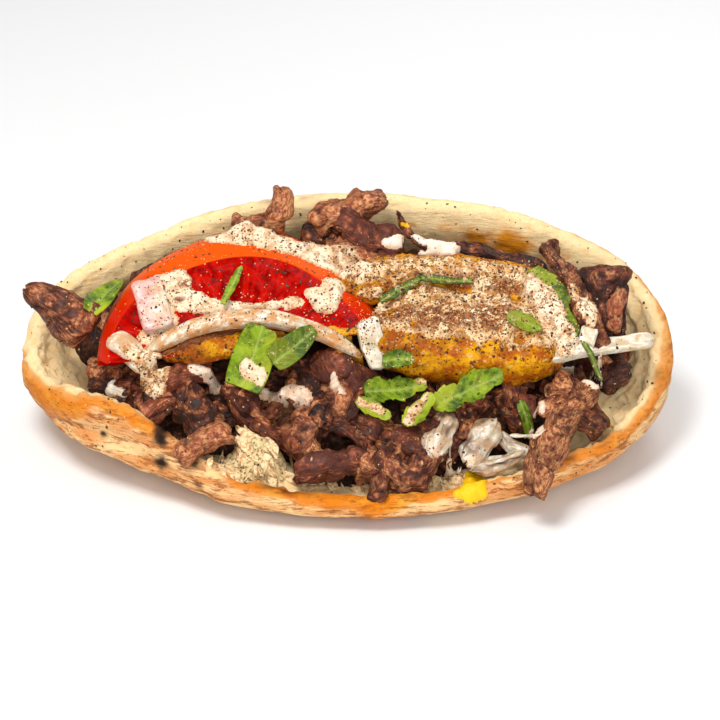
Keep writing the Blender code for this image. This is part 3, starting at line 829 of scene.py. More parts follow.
@dataclass(frozen=True)
class LeafFinish:
    """Fresh parsley with pale veins.

    Attributes:
        light: Its colour where light comes through.
        dark: Its darker parts.
        vein: Its veins.
    """

    light: Colour = rgb(126, 152, 14)
    dark: Colour = rgb(54, 78, 6)
    vein: Colour = rgb(188, 204, 96)

    def build(self) -> Material:
        """Makes the material.

        Returns:
            The material.
        """
        g = Graph("leaf")
        patch = g.plus(g.speckle(2.6, 5, 0.65), g.times(g.speckle(9.0, 2), 0.5))
        colour = g.mix(g.ramp(patch, 0.62, 0.9), self.light, self.dark)
        colour = g.mix(g.ramp(g.speckle(14.0, 1), 0.5, 0.6), colour, g.mix(0.5, colour, rgb(186, 190, 40)))
        colour = g.mix(g.field("shade"), colour, rgb(44, 66, 12))
        colour = g.tint(colour, g.field("vein"), 0.6, self.vein)
        cream = g.plus(g.speckle(1.7, 4, 0.7), g.times(g.field("shade"), 0.12))
        colour = g.tint(colour, g.ramp(cream, 0.68, 0.73), 0.85, rgb(222, 190, 146))
        colour, _ = g.dust(colour, 1.6, 0.10, 0.18, (rgb(206, 170, 84), rgb(60, 44, 16)))
        normal = g.bump(g.field("vein"), 0.3)
        normal = g.bump(g.speckle(0.8, 3), 0.2, normal)
        return g.finish(Base_Color=colour, Roughness=0.42, Normal=normal, Specular_IOR_Level=0.2,
                        Subsurface_Weight=0.15, Subsurface_Radius=(0.4, 1.0, 0.1), Subsurface_Scale=0.8 * MM)


@dataclass(frozen=True)
class FlakeFinish:
    """Dry flakes or grains of one spice.

    Attributes:
        name: The material's name.
        body: Its colour.
        other: A second colour that some of it has.
    """

    name: str
    body: Colour
    other: Colour

    def build(self) -> Material:
        """Makes the material.

        Returns:
            The material.
        """
        g = Graph(self.name)
        colour = g.mix(g.ramp(g.speckle(1.0, 4, 0.7), 0.44, 0.6), self.body, self.other)
        return g.finish(Base_Color=colour, Roughness=0.6, Normal=g.bump(g.speckle(0.3, 2), 0.15))


@dataclass(frozen=True)
class TableFinish:
    """A plain pale table top.

    Attributes:
        body: Its colour.
    """

    body: Colour = (0.86, 0.86, 0.86)

    def build(self) -> Material:
        """Makes the material."""
        return Graph("table").finish(Base_Color=self.body, Roughness=0.55)


# ------------------------------------------------------------------ bread


@dataclass(frozen=True)
class BreadShape:
    """The pita's walls, as the solid has them, for arrays of angles and depths."""

    half_length: float = 88.5
    middle_x: float = -0.2
    lip_radius: float = 3.3
    corner_y: float = 5.0
    corner_z: float = 24.0
    front_reach: float = 58.0
    rear_reach: float = 27.0
    front_drop: float = 16.0
    rear_rise: float = 31.0
    left_lift: float = 11.0
    left_back: float = 8.0
    rear_left_sag: float = 5.0
    floor: float = 6.0
    rim_power: float = 2.15
    wall_power: float = 2.8
    left_rounding: float = 0.95
    rear_belly: float = 0.30
    left_belly: float = 0.45
    puff: float = 1.1
    puff_length: float = 17.0
    fold_depth: float = 2.4
    base_patch: float = 0.42
    keel: float = math.pi / 2 * 0.97

    def rim(self, theta: Array) -> Array:
        """The middle of the rim.

        Args:
            theta: Angles round the mouth; 0 is the right corner and a quarter turn the rear lip.

        Returns:
            Points.
        """
        along = signed_power(np.cos(theta), 2 / self.rim_power)
        across = signed_power(np.sin(theta), 2 / self.rim_power)
        both = np.sqrt(across * across + 0.04) - 0.2
        x = self.half_length * along + self.middle_x
        reach, less = (self.front_reach + self.rear_reach) / 2, (self.front_reach - self.rear_reach) / 2
        y = self.corner_y + reach * across - less * both
        rise, more = (self.front_drop + self.rear_rise) / 2, (self.rear_rise - self.front_drop) / 2
        z = self.corner_z + rise * across + more * both
        curl = bell(x, -62.0, 24.0) * gate(-across - 0.30, 12)
        y = y + self.left_back * curl
        z = z + self.left_lift * curl - self.rear_left_sag * bell(x, -66, 32) * gate(across - 0.1, 8)
        return np.stack((x, y, z), -1)

    def outward(self, theta: Array) -> Array:
        """Level directions out of the bread at the rim.

        Args:
            theta: Angles round the mouth.

        Returns:
            Unit vectors.
        """
        step = self.rim(theta + 1e-3) - self.rim(theta - 1e-3)
        way = np.stack((step[..., 1], -step[..., 0], np.zeros_like(theta)), -1)
        return way / np.linalg.norm(way, axis=-1, keepdims=True)

    def puffed(self, points: Array) -> tuple[Array, Array]:
        """Points moved by the bread's uneven swelling.

        Args:
            points: Points of the smooth walls.

        Returns:
            The moved points and the directions out of the bread.
        """
        middle = np.stack((np.clip(points[..., 0], -50, 50), np.full(points.shape[:-1], -3.0),
                           np.full(points.shape[:-1], 26.0)), -1)
        way = points - middle
        way = way / np.linalg.norm(way, axis=-1, keepdims=True)
        above = np.clip((points[..., 2] - 0.6) / 5.0, 0, 1)
        swell = self.puff * soft_perlin(points / self.puff_length) * above
        return points + way * swell[..., None], way

    def wall(self, theta: Array, depth: Array, reach: float, floor: float) -> tuple[Array, Array]:
        """A wall without its swelling.

        Args:
            theta: Angles, as a row.
            depth: Depths, as a column; 0 is the rim.
            reach: How far out of the rim's middle it starts.
            floor: Height of its lowest point.

        Returns:
            Points, and their share of the rim's height.
        """
        edge = self.rim(theta) + self.outward(theta) * reach
        power = self.wall_power - self.left_rounding * np.maximum(0, -np.cos(theta)) ** 3
        across = np.maximum(0, np.cos(depth)) ** (2 / power)
        across = across * (1 + self.rear_belly * np.maximum(0, np.sin(theta)) * np.sin(2 * depth))
        height = (1 - np.sin(depth) ** (2 / self.wall_power)) + 0 * theta
        z = floor + (edge[..., 2] - floor) * height
        return np.stack((edge[..., 0] * across, edge[..., 1] * across, z), -1), height

    def outer(self, theta: Array, depth: Array) -> tuple[Array, Array]:
        """The outer wall.

        Args:
            theta: Angles, as a row.
            depth: Depths, as a column.

        Returns:
            Points and directions out of the bread.
        """
        points, height = self.wall(theta, depth, self.lip_radius, 0.0)
        left_front = bell(np.degrees(theta) % 360, 216, 20)
        points[..., 1] *= 1 + self.left_belly * left_front * np.sin(2 * depth)
        flat = (np.cos(depth) ** (2 / self.wall_power) < self.base_patch) & (theta < 99)
        points[..., 2] = np.where(flat, 0.0, points[..., 2])
        fold = self.fold_depth * left_front * bell(height, 0.72, 0.12) * ~flat
        made, way = self.puffed(points - self.outward(theta) * fold[..., None])
        return np.where(flat[..., None], points, made), way

    def inner(self, theta: Array, depth: Array, gap: float = 0.0) -> tuple[Array, Array]:
        """The inner wall.

        Args:
            theta: Angles, as a row.
            depth: Depths, as a column.
            gap: How far inside the wall.

        Returns:
            Points and directions out of the bread.
        """
        points, _ = self.wall(theta, depth, -self.lip_radius - gap, self.floor + gap)
        points[..., 2] += 12.0 * bell(points[..., 0], -24, 8) * bell(points[..., 1], -37, 5.0)
        return self.puffed(points)

    def lip(self, theta: Array, turn: Array) -> tuple[Array, Array]:
        """The rounded rim."""
        way = self.outward(theta) * np.cos(turn)[..., None] + np.array((0.0, 0, 1)) * np.sin(turn)[..., None]
        return self.puffed(self.rim(theta) + way * self.lip_radius)[0], way

    def fill_depth(self, theta: Array) -> Array:
        """How far below the rim the filling meets the inner wall.

        Args:
            theta: Angles round the mouth.

        Returns:
            Depths.
        """
        rear = np.maximum(0, np.sin(theta))
        turn = np.degrees(theta) % 360
        bare = 0.50 * bell(turn, 256, 8) + 0.24 * bell(turn, 306, 26)
        return 0.50 + bare - 0.30 * rear + 0.10 * np.cos(theta) ** 2 * (1 - rear)


@dataclass
class Bread:
    """The pita's visible surface.

    Attributes:
        shape: Its walls.
        columns: Points round the mouth.
        outer_rows: Rows on the outer wall.
        lip_rows: Rows over the lip.
        inner_rows: Rows on the inner wall.
    """

    shape: BreadShape
    columns: int = 540
    outer_rows: int = 76
    lip_rows: int = 22
    inner_rows: int = 82

    CHAR_SPOTS = ((-50.1, 20.0, 2.0), (-49.9, 13.2, 1.8), (-41.0, 16.5, 1.8), (-66.0, 16.0, 0.9), (20.0, 3.6, 1.0))

    def build(self) -> Piece:
        """Makes the piece.

        Returns:
            The bread.
        """
        shape = self.shape
        theta = np.linspace(0, 2 * math.pi, self.columns, endpoint=False)[None, :]
        down = shape.keel * (1 - np.linspace(0, 1, self.outer_rows))[:, None] ** 0.85
        turn = math.pi * (np.arange(1, self.lip_rows + 1) / (self.lip_rows + 1))[:, None]
        deep = shape.keel * (np.linspace(0, 1, self.inner_rows))[:, None] ** 1.25
        outer, outer_way = shape.outer(theta, down)
        lip, lip_way = shape.lip(theta, turn)
        inner, inner_way = shape.inner(theta, deep)
        points = np.concatenate((outer, lip, inner))
        way = np.concatenate((outer_way, lip_way, -inner_way))
        part = np.concatenate((np.zeros(down.shape), turn / math.pi, np.ones(deep.shape))) + 0 * theta
        points[-self.inner_rows:] -= inner_way * self._shelf(lip[-1, :, 2] - inner[..., 2], theta)[..., None]
        past = self._past(points, part)
        limit = self._limit(points, theta)
        crust = gate(limit - past, 1.5)
        relief = self._relief(points, theta, crust)
        points = points + way * relief[..., None]
        # The deep field is painted shade in the sunken pores of the crumb.
        fields = {"crust": crust, "gold": self._gold(points, theta, limit - past), "char": self._char(points, part),
                  "stain": self._stain(points, part), "deep": np.clip(-relief / 0.9 - 0.1, 0, 1),
                  "torn": self._torn(points) * (1 - crust)}
        fields = {name: with_ends(values) for name, values in fields.items()}
        lump = Lump(*closed_shell(points), fields).outward()
        return lump.piece("bread_baked", BreadFinish().build(), Slot.BREAD, ["pita_bread"])

    @staticmethod
    def _shelf(below: Array, theta: Array) -> Array:
        """How far the crumb swells into the mouth at lengths below the lip, most of all at the ends."""
        ends = 1.6 + 3.2 * bell((np.degrees(theta) + 30) % 360, 10, 48) + 4.4 * bell(np.degrees(theta), 196, 32)
        return ends * (1 - np.exp(-((below / 4) ** 2))) * np.exp(-((below / 15) ** 2))

    @staticmethod
    def _torn(points: Array) -> Array:
        """Share of torn crumb, behind the front lip."""
        x, y, z = points[..., 0], points[..., 1], points[..., 2]
        return np.clip(1.6 * bell(x, -25, 13) * bell(y, -38, 11) * (z > 9), 0, 1)

    def _past(self, points: Array, part: Array) -> Array:
        """How far each point lies past the crest of the lip, on the way from the outside to the inside.

        Args:
            points: The bread's points.
            part: 0 on the outer wall, up to 1 on the inner one.

        Returns:
            Distances in millimetres, negative on the outside.
        """
        over = (part - 0.5) * math.pi * self.shape.lip_radius
        last = self.outer_rows - 1
        below = np.maximum(0, points[last][None, :, 2] - points[..., 2])
        return over + np.where(part > 0.99, below, np.where(part < 0.01, -below, 0))

    @staticmethod
    def _limit(points: Array, theta: Array) -> Array:
        """Where the baked skin ends in a ragged line: low outside at the left, over the lip at the front.

        Args:
            points: The bread's points.
            theta: Their angles.

        Returns:
            Distances past the crest of the lip, in millimetres.
        """
        turn = np.degrees(theta) % 360
        front = 3.6 * bell(turn, 240, 12) + 2.4 * bell(turn, 272, 24) + 0.5 * bell(turn, 310, 30)
        left = 6.5 * bell(turn, 168, 22) + 1.5 * bell(turn, 206, 14)
        rear = 2.0 * np.maximum(0, np.sin(theta)) + 0.5 * bell((turn + 40) % 360, 20, 50)
        return front - left - rear - 1.0 + 1.4 * fractal(points, 7.0, 4, 5)

    @staticmethod
    def _gold(points: Array, theta: Array, below: Array) -> Array:
        """Share of golden crust: a band along its edge, and patches elsewhere.

        Args:
            points: The bread's points.
            theta: Their angles.
            below: How far they lie below the crust's edge.

        Returns:
            Shares from 0 to 1.
        """
        x = points[..., 0]
        front = gate(-np.sin(theta) + 0.15, 6)
        deep = 3.0 + 4.5 * bell(x, 4, 26) - 2.0 * bell(x, -34, 9) + 2.5 * bell(x, -54, 9) + 4.0 * bell(x, -79, 12)
        edge = deep + 2.4 * fractal(points * np.array((0.5, 0.7, 1)), 9.0, 5, 3)
        band = gate(edge - below, 1.3) * (0.35 + 0.65 * front)
        patches = gate(fractal(points * np.array((0.45, 0.6, 1)), 10.0, 5, 8) - 0.35, 5) * (0.75 - 0.35 * front)
        return np.clip(np.maximum(band, patches), 0, 1)

    def _char(self, points: Array, part: Array) -> Array:
        """Share of burnt spots.

        Args:
            points: The bread's points.
            part: 0 on the outer wall, up to 1 on the inner one.

        Returns:
            Shares from 0 to 1.
        """
        x, y, z = points[..., 0], points[..., 1], points[..., 2]
        uneven = 0.3 * fractal(points, 1.6, 2, 9)
        share = np.zeros(part.shape)
        for spot_x, spot_z, size in self.CHAR_SPOTS:
            away = np.hypot(x - spot_x, z - spot_z) / size + uneven
            share = np.maximum(share, gate(1.05 - away, 7) * (y < 0))
        blisters = gate(smooth_noise(points, 7.0, 31) - 0.80, 30) * gate(smooth_noise(points, 1.8, 32) - 0.25, 9)
        toast = 0.8 * bell(x, -17, 10) * bell(part, 0.5, 0.15) * gate(fractal(points, 3.0, 3, 19) + 0.15, 6)
        return np.maximum(np.maximum(share * (part < 0.8), toast), 0.7 * blisters * (part < 0.3))

    @staticmethod
    def _stain(points: Array, part: Array) -> Array:
        """Share of yellow sauce soaked into the rear wall and spotted at the right.

        Args:
            points: The bread's points.
            part: 0 on the outer wall, up to 1 on the inner one.

        Returns:
            Shares from 0 to 1.
        """
        x, z = points[..., 0], points[..., 2]
        rear = 0.9 * bell(x, 38, 26) * bell(z, 41, 9) * (points[..., 1] > 5)
        rear = rear + 0.9 * bell(x, 22, 5) * bell(z, 49, 3)
        share = rear * (0.85 + 0.9 * fractal(points, 8.0, 4, 12))
        return np.clip(share + 0.25 * gate(fractal(points, 4.0, 2, 14) - 0.75, 14), 0, 1) * (part > 0.4)

    @staticmethod
    def _relief(points: Array, theta: Array, crust: Array) -> Array:
        """Height of wrinkles and blisters on the crust, and of pores in the crumb.

        Args:
            points: The bread's points.
            theta: Their angles.
            crust: Share of crust.

        Returns:
            Heights in millimetres.
        """
        drawn = points * np.array((0.3, 0.4, 1.6))
        skin = 0.26 * fractal(drawn, 4.5, 4, 1) + 0.30 * fractal(points, 8.0, 2, 2)
        skin = skin - 0.5 * gate(0.10 - np.abs(smooth_noise(drawn, 6.0, 17)), 40)
        front = gate(-np.sin(theta), 5)
        torn = Bread._torn(points)
        holes = gate(smooth_noise(points, 2.3, 4) - 0.28, 10) * (0.35 + 0.8 * front + 0.6 * torn)
        holes = holes + gate(smooth_noise(points, 1.1, 24) - 0.35, 10) * (0.15 + 0.4 * front)
        ropes = smooth_noise(points * np.array((1.0, 0.45, 0.35)), 1.9, 25)
        crumb = (0.3 + 0.4 * front + 0.9 * torn) * fractal(points, 3.4, 4, 6) + (0.25 * front + 1.6 * torn) * ropes
        flat = np.clip((points[..., 2] - 0.3) / 3.0, 0, 1)
        return (crust * skin + (1 - crust) * (crumb - holes)) * flat


# ------------------------------------------------------------------ strips of meat and onion


@dataclass(frozen=True)
class Strip:
    """A slice laid from one tray point to another.

    Attributes:
        start: Tray coordinates of its first end.
        end: Tray coordinates of its last end.
        width: Its width.
        thick: Its thickness.
        bend: How far its middle stands off sideways.
        arch: How far its middle stands off upwards.
        taper: Scales of its first and last end.
        roll: Its turn round its own axis, in degrees.
        square: How square its section is.
        rough: Height of its lumps.
        grain: Size of its lumps.
        seed: Picks another set of lumps.
        facets: How many flat facets it has for each 4 mm.
        frayed: How uneven its ends are.
        blunt: How square its ends are.
        pink: How pink its meat is.
        tone: How light its meat is, or nothing for a value that follows from its seed.
    """

    start: Triple
    end: Triple
    width: float
    thick: float
    bend: float = 0.0
    arch: float = 0.0
    taper: tuple[float, float] = (1.0, 1.0)
    roll: float = 0.0
    square: float = 2.6
    rough: float = 0.9
    grain: float = 6.0
    seed: int = 0
    facets: float = 0.0
    frayed: float = 0.0
    blunt: float = 3.5
    pink: float = 0.0
    tone: Optional[float] = None

    def _facets(self, along: Array, side: Array, up: Array, length: float) -> tuple[Array, Array, Array]:
        """Cuts flat facets into the strip, as a knife and tearing leave them.

        Args:
            along: Places along the strip.
            side: Places across it.
            up: Places through its thickness.
            length: Its length.

        Returns:
            The three places after the cuts.
        """
        draw = random.Random(self.seed * 17 + 5)
        for _ in range(int(self.facets * length / 4)):
            at, turn, lean = length * draw.random(), draw.uniform(0, 2 * math.pi), draw.uniform(-0.5, 0.5)
            way = np.array((lean, math.cos(turn), math.sin(turn)))
            way /= np.linalg.norm(way)
            reach = math.hypot(self.width / 2 * math.cos(turn), self.thick / 2 * math.sin(turn))
            past = (along - at) * way[0] + side * way[1] + up * way[2] - reach * draw.uniform(0.66, 0.94)
            cut = np.maximum(0, past) * np.exp(-(((along - at) / draw.uniform(4, 8)) ** 4))
            along, side, up = along - cut * way[0], side - cut * way[1], up - cut * way[2]
        return along, side, up

    def lump(self, rings: int, sides: int, relief: Callable[[Array, Array, int], Array]) -> Lump:
        """Makes the strip with its relief.

        Args:
            rings: Points along it.
            sides: Points round it.
            relief: Gives heights for points, for places along the grain and for a seed.

        Returns:
            The strip.
        """
        first, last = tray(*map(np.array, self.start)), tray(*map(np.array, self.end))
        length = float(np.linalg.norm(last - first))
        axis = (last - first) / length
        side = np.cross(TRAY_OUT, axis)
        side /= np.linalg.norm(side)
        turn = np.array(Matrix.Rotation(math.radians(self.roll), 3, Vector(axis)))
        up = turn @ np.cross(axis, side)
        side = turn @ side
        s = 0.5 - 0.5 * np.cos(np.linspace(0.045, math.pi - 0.045, rings))
        s = (0.35 * s + 0.65 * np.linspace(0.006, 0.994, rings))[:, None]
        scale = self.taper[0] + (self.taper[1] - self.taper[0]) * s
        scale = scale * np.maximum(0.0, 1 - np.abs(2 * s - 1) ** self.blunt) ** 0.5
        angle = (2 * math.pi * np.arange(sides) / sides)[None, :]
        c = signed_power(np.cos(angle), 2 / self.square) * self.width / 2 * scale
        v = signed_power(np.sin(angle), 2 / self.square) * self.thick / 2 * scale
        ends = np.stack((np.cos(angle) * 1.3 + 0 * s, np.sin(angle) * 1.3 + 0 * s, 0 * angle + np.sign(s - 0.5)), -1)
        torn = self.frayed * fractal(ends * 2.0, 1.0, 2, self.seed) * np.abs(2 * s - 1) ** 3
        along = s * length + torn
        if self.facets:
            along, c, v = self._facets(along, c, v, length)
        share = np.clip(along / length, 0, 1)
        bow = 4 * share * (1 - share)
        away = c[..., None] * side + v[..., None] * up
        points = first + along[..., None] * axis + (self.bend * bow)[..., None] * side
        points = points + (self.arch * bow)[..., None] * up + away
        shift = np.array((self.seed * 3.7, self.seed * 1.3, self.seed * 2.1))
        lumps = self.rough * soft_perlin(points / self.grain + shift) * np.minimum(1.0, scale)
        out = away / np.maximum(1e-6, np.linalg.norm(away, axis=-1, keepdims=True))
        around = (angle / (2 * math.pi) * math.pi * (self.width + self.thick) / 2) + 0 * s
        grain = np.stack((along, around, np.full(along.shape, self.seed * 11.0)), -1)
        heights = relief(points, grain, self.seed) * np.clip(scale * 1.6, 0, 1)
        # Painted shade where the relief sinks the surface, in creases and pits.
        deep = np.clip(-heights / 1.1 - 0.15, 0, 1)
        made, faces = closed_shell(points + out * (lumps + heights)[..., None])
        tone = random.Random(self.seed * 7 + 4).random() if self.tone is None else self.tone
        fields = {"grain": with_ends(grain) * np.array((0.3, 1.15, 1.0)), "pink": np.full(len(made), self.pink),
                  "deep": with_ends(deep), "tone": np.full(len(made), tone)}
        return Lump(made, faces, fields).outward()


def meat_relief(points: Array, grain: Array, seed: int) -> Array:
    """Short fibres, creases, torn ledges and pits of seared meat.

    Args:
        points: The slice's points.
        grain: Places along and round the slice.
        seed: Picks another set.

    Returns:
        Heights in millimetres.
    """
    drawn = grain * np.array((0.4, 1.0, 1.0)) + 0.25 * smooth_noise(points, 3.0, seed + 45)[..., None]
    fibres = smooth_noise(drawn, 0.8, seed + 40)
    creases = np.maximum(0, 1 - np.abs(smooth_noise(points, 4.6, seed + 41)) * 8)
    pits = gate(smooth_noise(points, 1.1, seed + 42) - 0.5, 14)
    ledges = np.tanh(5 * smooth_noise(points, 4.0, seed + 44)) * 0.4
    return 0.14 * fibres - 0.7 * creases - 0.3 * pits + ledges + 0.2 * fractal(points, 1.8, 3, seed + 43)


def onion_relief(points: Array, grain: Array, seed: int) -> Array:
    """Faint ridges of an onion layer."""
    return 0.07 * smooth_noise(grain * np.array((0.05, 1.0, 1.0)), 1.1, seed) + 0.12 * fractal(points, 5.0, 2, seed)


def shred_relief(points: Array, grain: Array, seed: int) -> Array:
    """Strands and splits of finely sliced onion.

    Args:
        points: The segment's points.
        grain: Places along and round the segment.
        seed: Picks another set.

    Returns:
        Heights in millimetres.
    """
    drawn = grain * np.array((0.12, 1.0, 1.0)) + 0.3 * smooth_noise(points, 4.0, seed)[..., None]
    strands = np.abs(smooth_noise(drawn, 1.6, seed + 3))
    return 0.8 * strands - 0.55 + 0.6 * fractal(points, 3.5, 3, seed + 4)


def slab_relief(points: Array, grain: Array, seed: int) -> Array:
    """Crumbly soft flesh."""
    pits = gate(smooth_noise(points, 1.9, seed) - 0.35, 10)
    return 0.65 * fractal(points, 4.5, 4, seed + 1) - 0.45 * pits


LOOSE_SLICES: dict[str, Strip] = {
    "meat_left_corner": Strip((-89, 60, 6), (-70, 48, 4), 15, 7.5, taper=(0.35, 1.1), facets=1.2, rough=0.6, seed=41,
                              pink=0.25, tone=0.45),
    "meat_front_left": Strip((-45, 8, 4), (-31, 16, 3), 7.5, 6.5, bend=1.0, seed=42, pink=0.75, tone=0.9),
    "meat_back_base": Strip((-32, 81, 3.5), (-18, 84, 3.5), 8, 7.5, rough=1.5, grain=4.5, seed=43, pink=0.45, tone=0.8),
    "meat_back_knob": Strip((-20, 82, 4.5), (-19, 91.5, 8), 6.5, 6, bend=-1.0, seed=44, pink=0.5, tone=0.95),
    "meat_back_cluster": Strip((-10, 81.5, 4), (11, 89.5, 5), 8.5, 8, rough=1.8, grain=4.0, seed=45,
                               pink=0.5, tone=0.95),
    "meat_back_oval": Strip((-4, 81.5, 4), (15, 74, 3), 11, 8, seed=46, pink=0.5),
    "meat_back_strip": Strip((-6, 74.5, 4.5), (27, 67, 3), 6, 5.5, bend=-1.0, seed=47, pink=0.5, tone=0.9),
    "meat_back_spike": Strip((14, 86, 3), (28, 73.5, 2.5), 4, 3.4, bend=-2.5, taper=(0.7, 1.0), seed=48, pink=0.15),
    "meat_rear_dark": Strip((27, 75, 2), (56, 66, 2), 6, 6, bend=1.5, seed=49, pink=0.15, tone=0.1),
    "meat_right_strip": Strip((55.5, 74, 7.5), (70, 40, 4.5), 5.8, 5, arch=2.5, facets=1.2, seed=50,
                              pink=0.15, tone=0.5),
    "meat_right_chunk": Strip((71, 46, 1.5), (72, 67, 5), 13.5, 9, taper=(0.75, 1.1), rough=1.3, seed=51,
                              pink=0.15, tone=0.1),
    "meat_right_lobe": Strip((73, 46, 7), (75, 58.5, 9), 4.6, 4.5, seed=52, pink=0.9, tone=0.8),
    "meat_right_small": Strip((69, 36, -3), (77, 40, -3), 7, 5.5, seed=53, pink=0.15, tone=0.1),
    "meat_front_right": Strip((67, 33, 0), (50.5, -3, 5.5), 9, 6.5, bend=-3.0, taper=(0.9, 1.05), facets=1.0,
                              rough=0.5, seed=54, pink=0.15, tone=0.9),
}

# Start, end, width, thickness, bend and how pink each slice on the heap is.
HEAP_SLICES: tuple[tuple[Triple, Triple, float, float, float, float], ...] = (
    ((-50, 33, 2), (-37, 37, 2.5), 6.5, 6, 1, 0.9), ((-56, 24, -3), (-47, 31, -1), 8.5, 7, 1, 0.9),
    ((-48, 33, -2), (-38, 18, -1), 11, 9, 1.5, 0.1), ((-33, 33, 0), (-16, 16, -1), 8, 8, -1.5, 0.35),
    ((-13, 40, 0), (-7, 27, 0), 9, 8, 0, 0.1), ((-5, 44, 1), (7, 28, 1), 14, 10, -1.5, 0.45),
    ((-17, 33, -1), (3, 27, -1), 9, 8, 0, 0.2), ((-15, 12, 0.5), (-3, 26, 0), 12, 10, 1, 0.5),
    ((-7, 23, 1), (9, 15, 1), 10, 9, 1.5, 0.3), ((-14, 4.5, 2), (9, 7, 2.5), 8, 7, 2.5, 0.45),
    ((4, 9, 2), (18, 1.5, 2.5), 10, 8, 0, 0.2), ((9, 5, 2), (8, -4, 4), 6, 5, 0.5, 0.2),
    ((16, 1, 2), (23, 14, 1), 10, 8, 0, 0.15), ((3, 21, 0), (18, 12, 0), 10, 8.5, 0, 0.2),
    ((13, 12, 1.5), (22, 20, 1), 8, 7, 0, 0.5), ((24, 11, -3), (31, 19, -3), 8, 7, 0, 0.4),
    ((30, 21, -4), (37, 33, -3), 8, 7, 0, 0.1), ((38, 20, -5), (45, 32, -4), 8.5, 7.5, 0, 0.2),
    ((46, 36, -2), (47, 21, -3), 6.5, 6.5, 0, 0.6), ((50, 24, -6), (58, 38, -5), 8.5, 7, 0, 0),
    ((57, 31, 0), (70, 20, -1), 11, 9, 0, 0.1), ((-70, 36, -5), (-63, 45, -5), 8.5, 7.5, 0, 0.1),
    ((-66, 32, -6), (-53, 40, -5), 9.5, 8, 0, 0.2), ((-63, 37, -4), (-56, 29, -5), 7, 6, 0, 0.3),
    ((-39, 22, -4), (-28, 31, -5), 10, 8, 0, 0), ((-23, 23, -5), (-12, 33, -5), 10, 8, 0, 0),
    ((17, 30, -2), (26, 23, -2), 10, 8, 0, 0.1), ((25, 33, -4), (33, 39, -4), 9, 8, 0, 0),
    ((69, 36, -5), (77, 42, -4), 8.5, 7.5, 0, 0.1), ((20, 69, 0), (31, 70, 0.5), 9, 7.5, 0, 0.3),
    ((36, 68, -3), (56, 62, -4), 11, 8, 0, 0), ((-13, 78, -1), (6, 79, -1), 11, 9, 0, 0),
    ((-37, 77, -4), (-19, 80, -3), 10, 9, 0, 0), ((-60, 66, -6), (-44, 74, -6), 10, 9, 0, 0),
    ((58, 52, -2), (64, 62, -3), 10, 8, 0, 0.1),
)

SCRAP_AREAS: tuple[Area, ...] = (
    (-68, -48, 27, 45, 24), (-46, 26, 5, 40, 64), (26, 60, 22, 38, 34), (62, 76, 30, 52, 12), (-58, 24, 72, 80, 26),
    (30, 62, 62, 70, 14), (22, 52, 8, 24, 22))
REAR_AREAS: tuple[Area, ...] = (
    (-84, -54, 40, 88, 90), (-54, 20, 78, 96, 110), (20, 84, 62, 96, 140), (66, 86, 36, 64, 30))

ONION_STRIPS: dict[str, Strip] = {
    "onion_arc": Strip((-58, 37, 6), (4, 39, 5.5), 5.0, 5.0, bend=9.0, arch=6.5, rough=0.4, seed=80),
    "onion_quill": Strip((5.5, 48, 10), (10, 35.5, 5), 6.4, 2.8, bend=-0.8, rough=0.3, seed=81),
    "onion_left": Strip((-64.5, 43, 9), (-54, 35, 5), 7.0, 4.0, bend=0.8, rough=0.4, seed=82),
    "onion_right": Strip((53, 37.5, 7), (84, 44.8, 4), 4.2, 3.0, bend=0.4, rough=0.3, seed=83),
    "onion_end": Strip((65, 41, 7.5), (66.5, 46, 8), 4.8, 3.4, rough=0.3, seed=84),
    "onion_bead": Strip((-66, 34, -3.5), (-59.5, 32, -3.5), 5.5, 4.5, rough=0.3, seed=85),
    "onion_red": Strip((-51, 44.5, 10.5), (-55.5, 60, 10.5), 8.5, 2.4, rough=0.3, seed=86),
    "onion_low_left": Strip((22, 10, 1), (28, 24, 0.5), 8.0, 4.5, rough=0.8, seed=87),
    "onion_low_middle": Strip((32, 9, 1), (40, 21, 1.5), 8.5, 3.2, rough=0.5, seed=88),
    "onion_low_front": Strip((34, 7, 0), (48, 12.5, 0.5), 4.6, 3.6, bend=-1.0, rough=0.4, seed=89),
    "onion_low_right": Strip((41, 18, 0), (51, 11, 0.5), 4.6, 3.6, bend=-1.0, rough=0.4, seed=90),
}

AUBERGINE_STRIPS: dict[str, Strip] = {
    "aubergine_front": Strip((4, 46, 2.5), (61, 44.5, 2), 30, 19, bend=2.0, roll=-18, taper=(0.85, 1.02),
                             square=3.0, rough=2.0, grain=9.0, seed=71),
    "aubergine_rear": Strip((-3, 62, 5), (62, 58, 4), 16, 8, bend=3.5, roll=-8, square=3.0, rough=1.2, grain=8.0,
                            seed=72),
    "aubergine_narrow": Strip((-51, 39.5, 6), (-13, 42, 6.5), 11, 7.5, bend=2.5, roll=-20, seed=73),
}


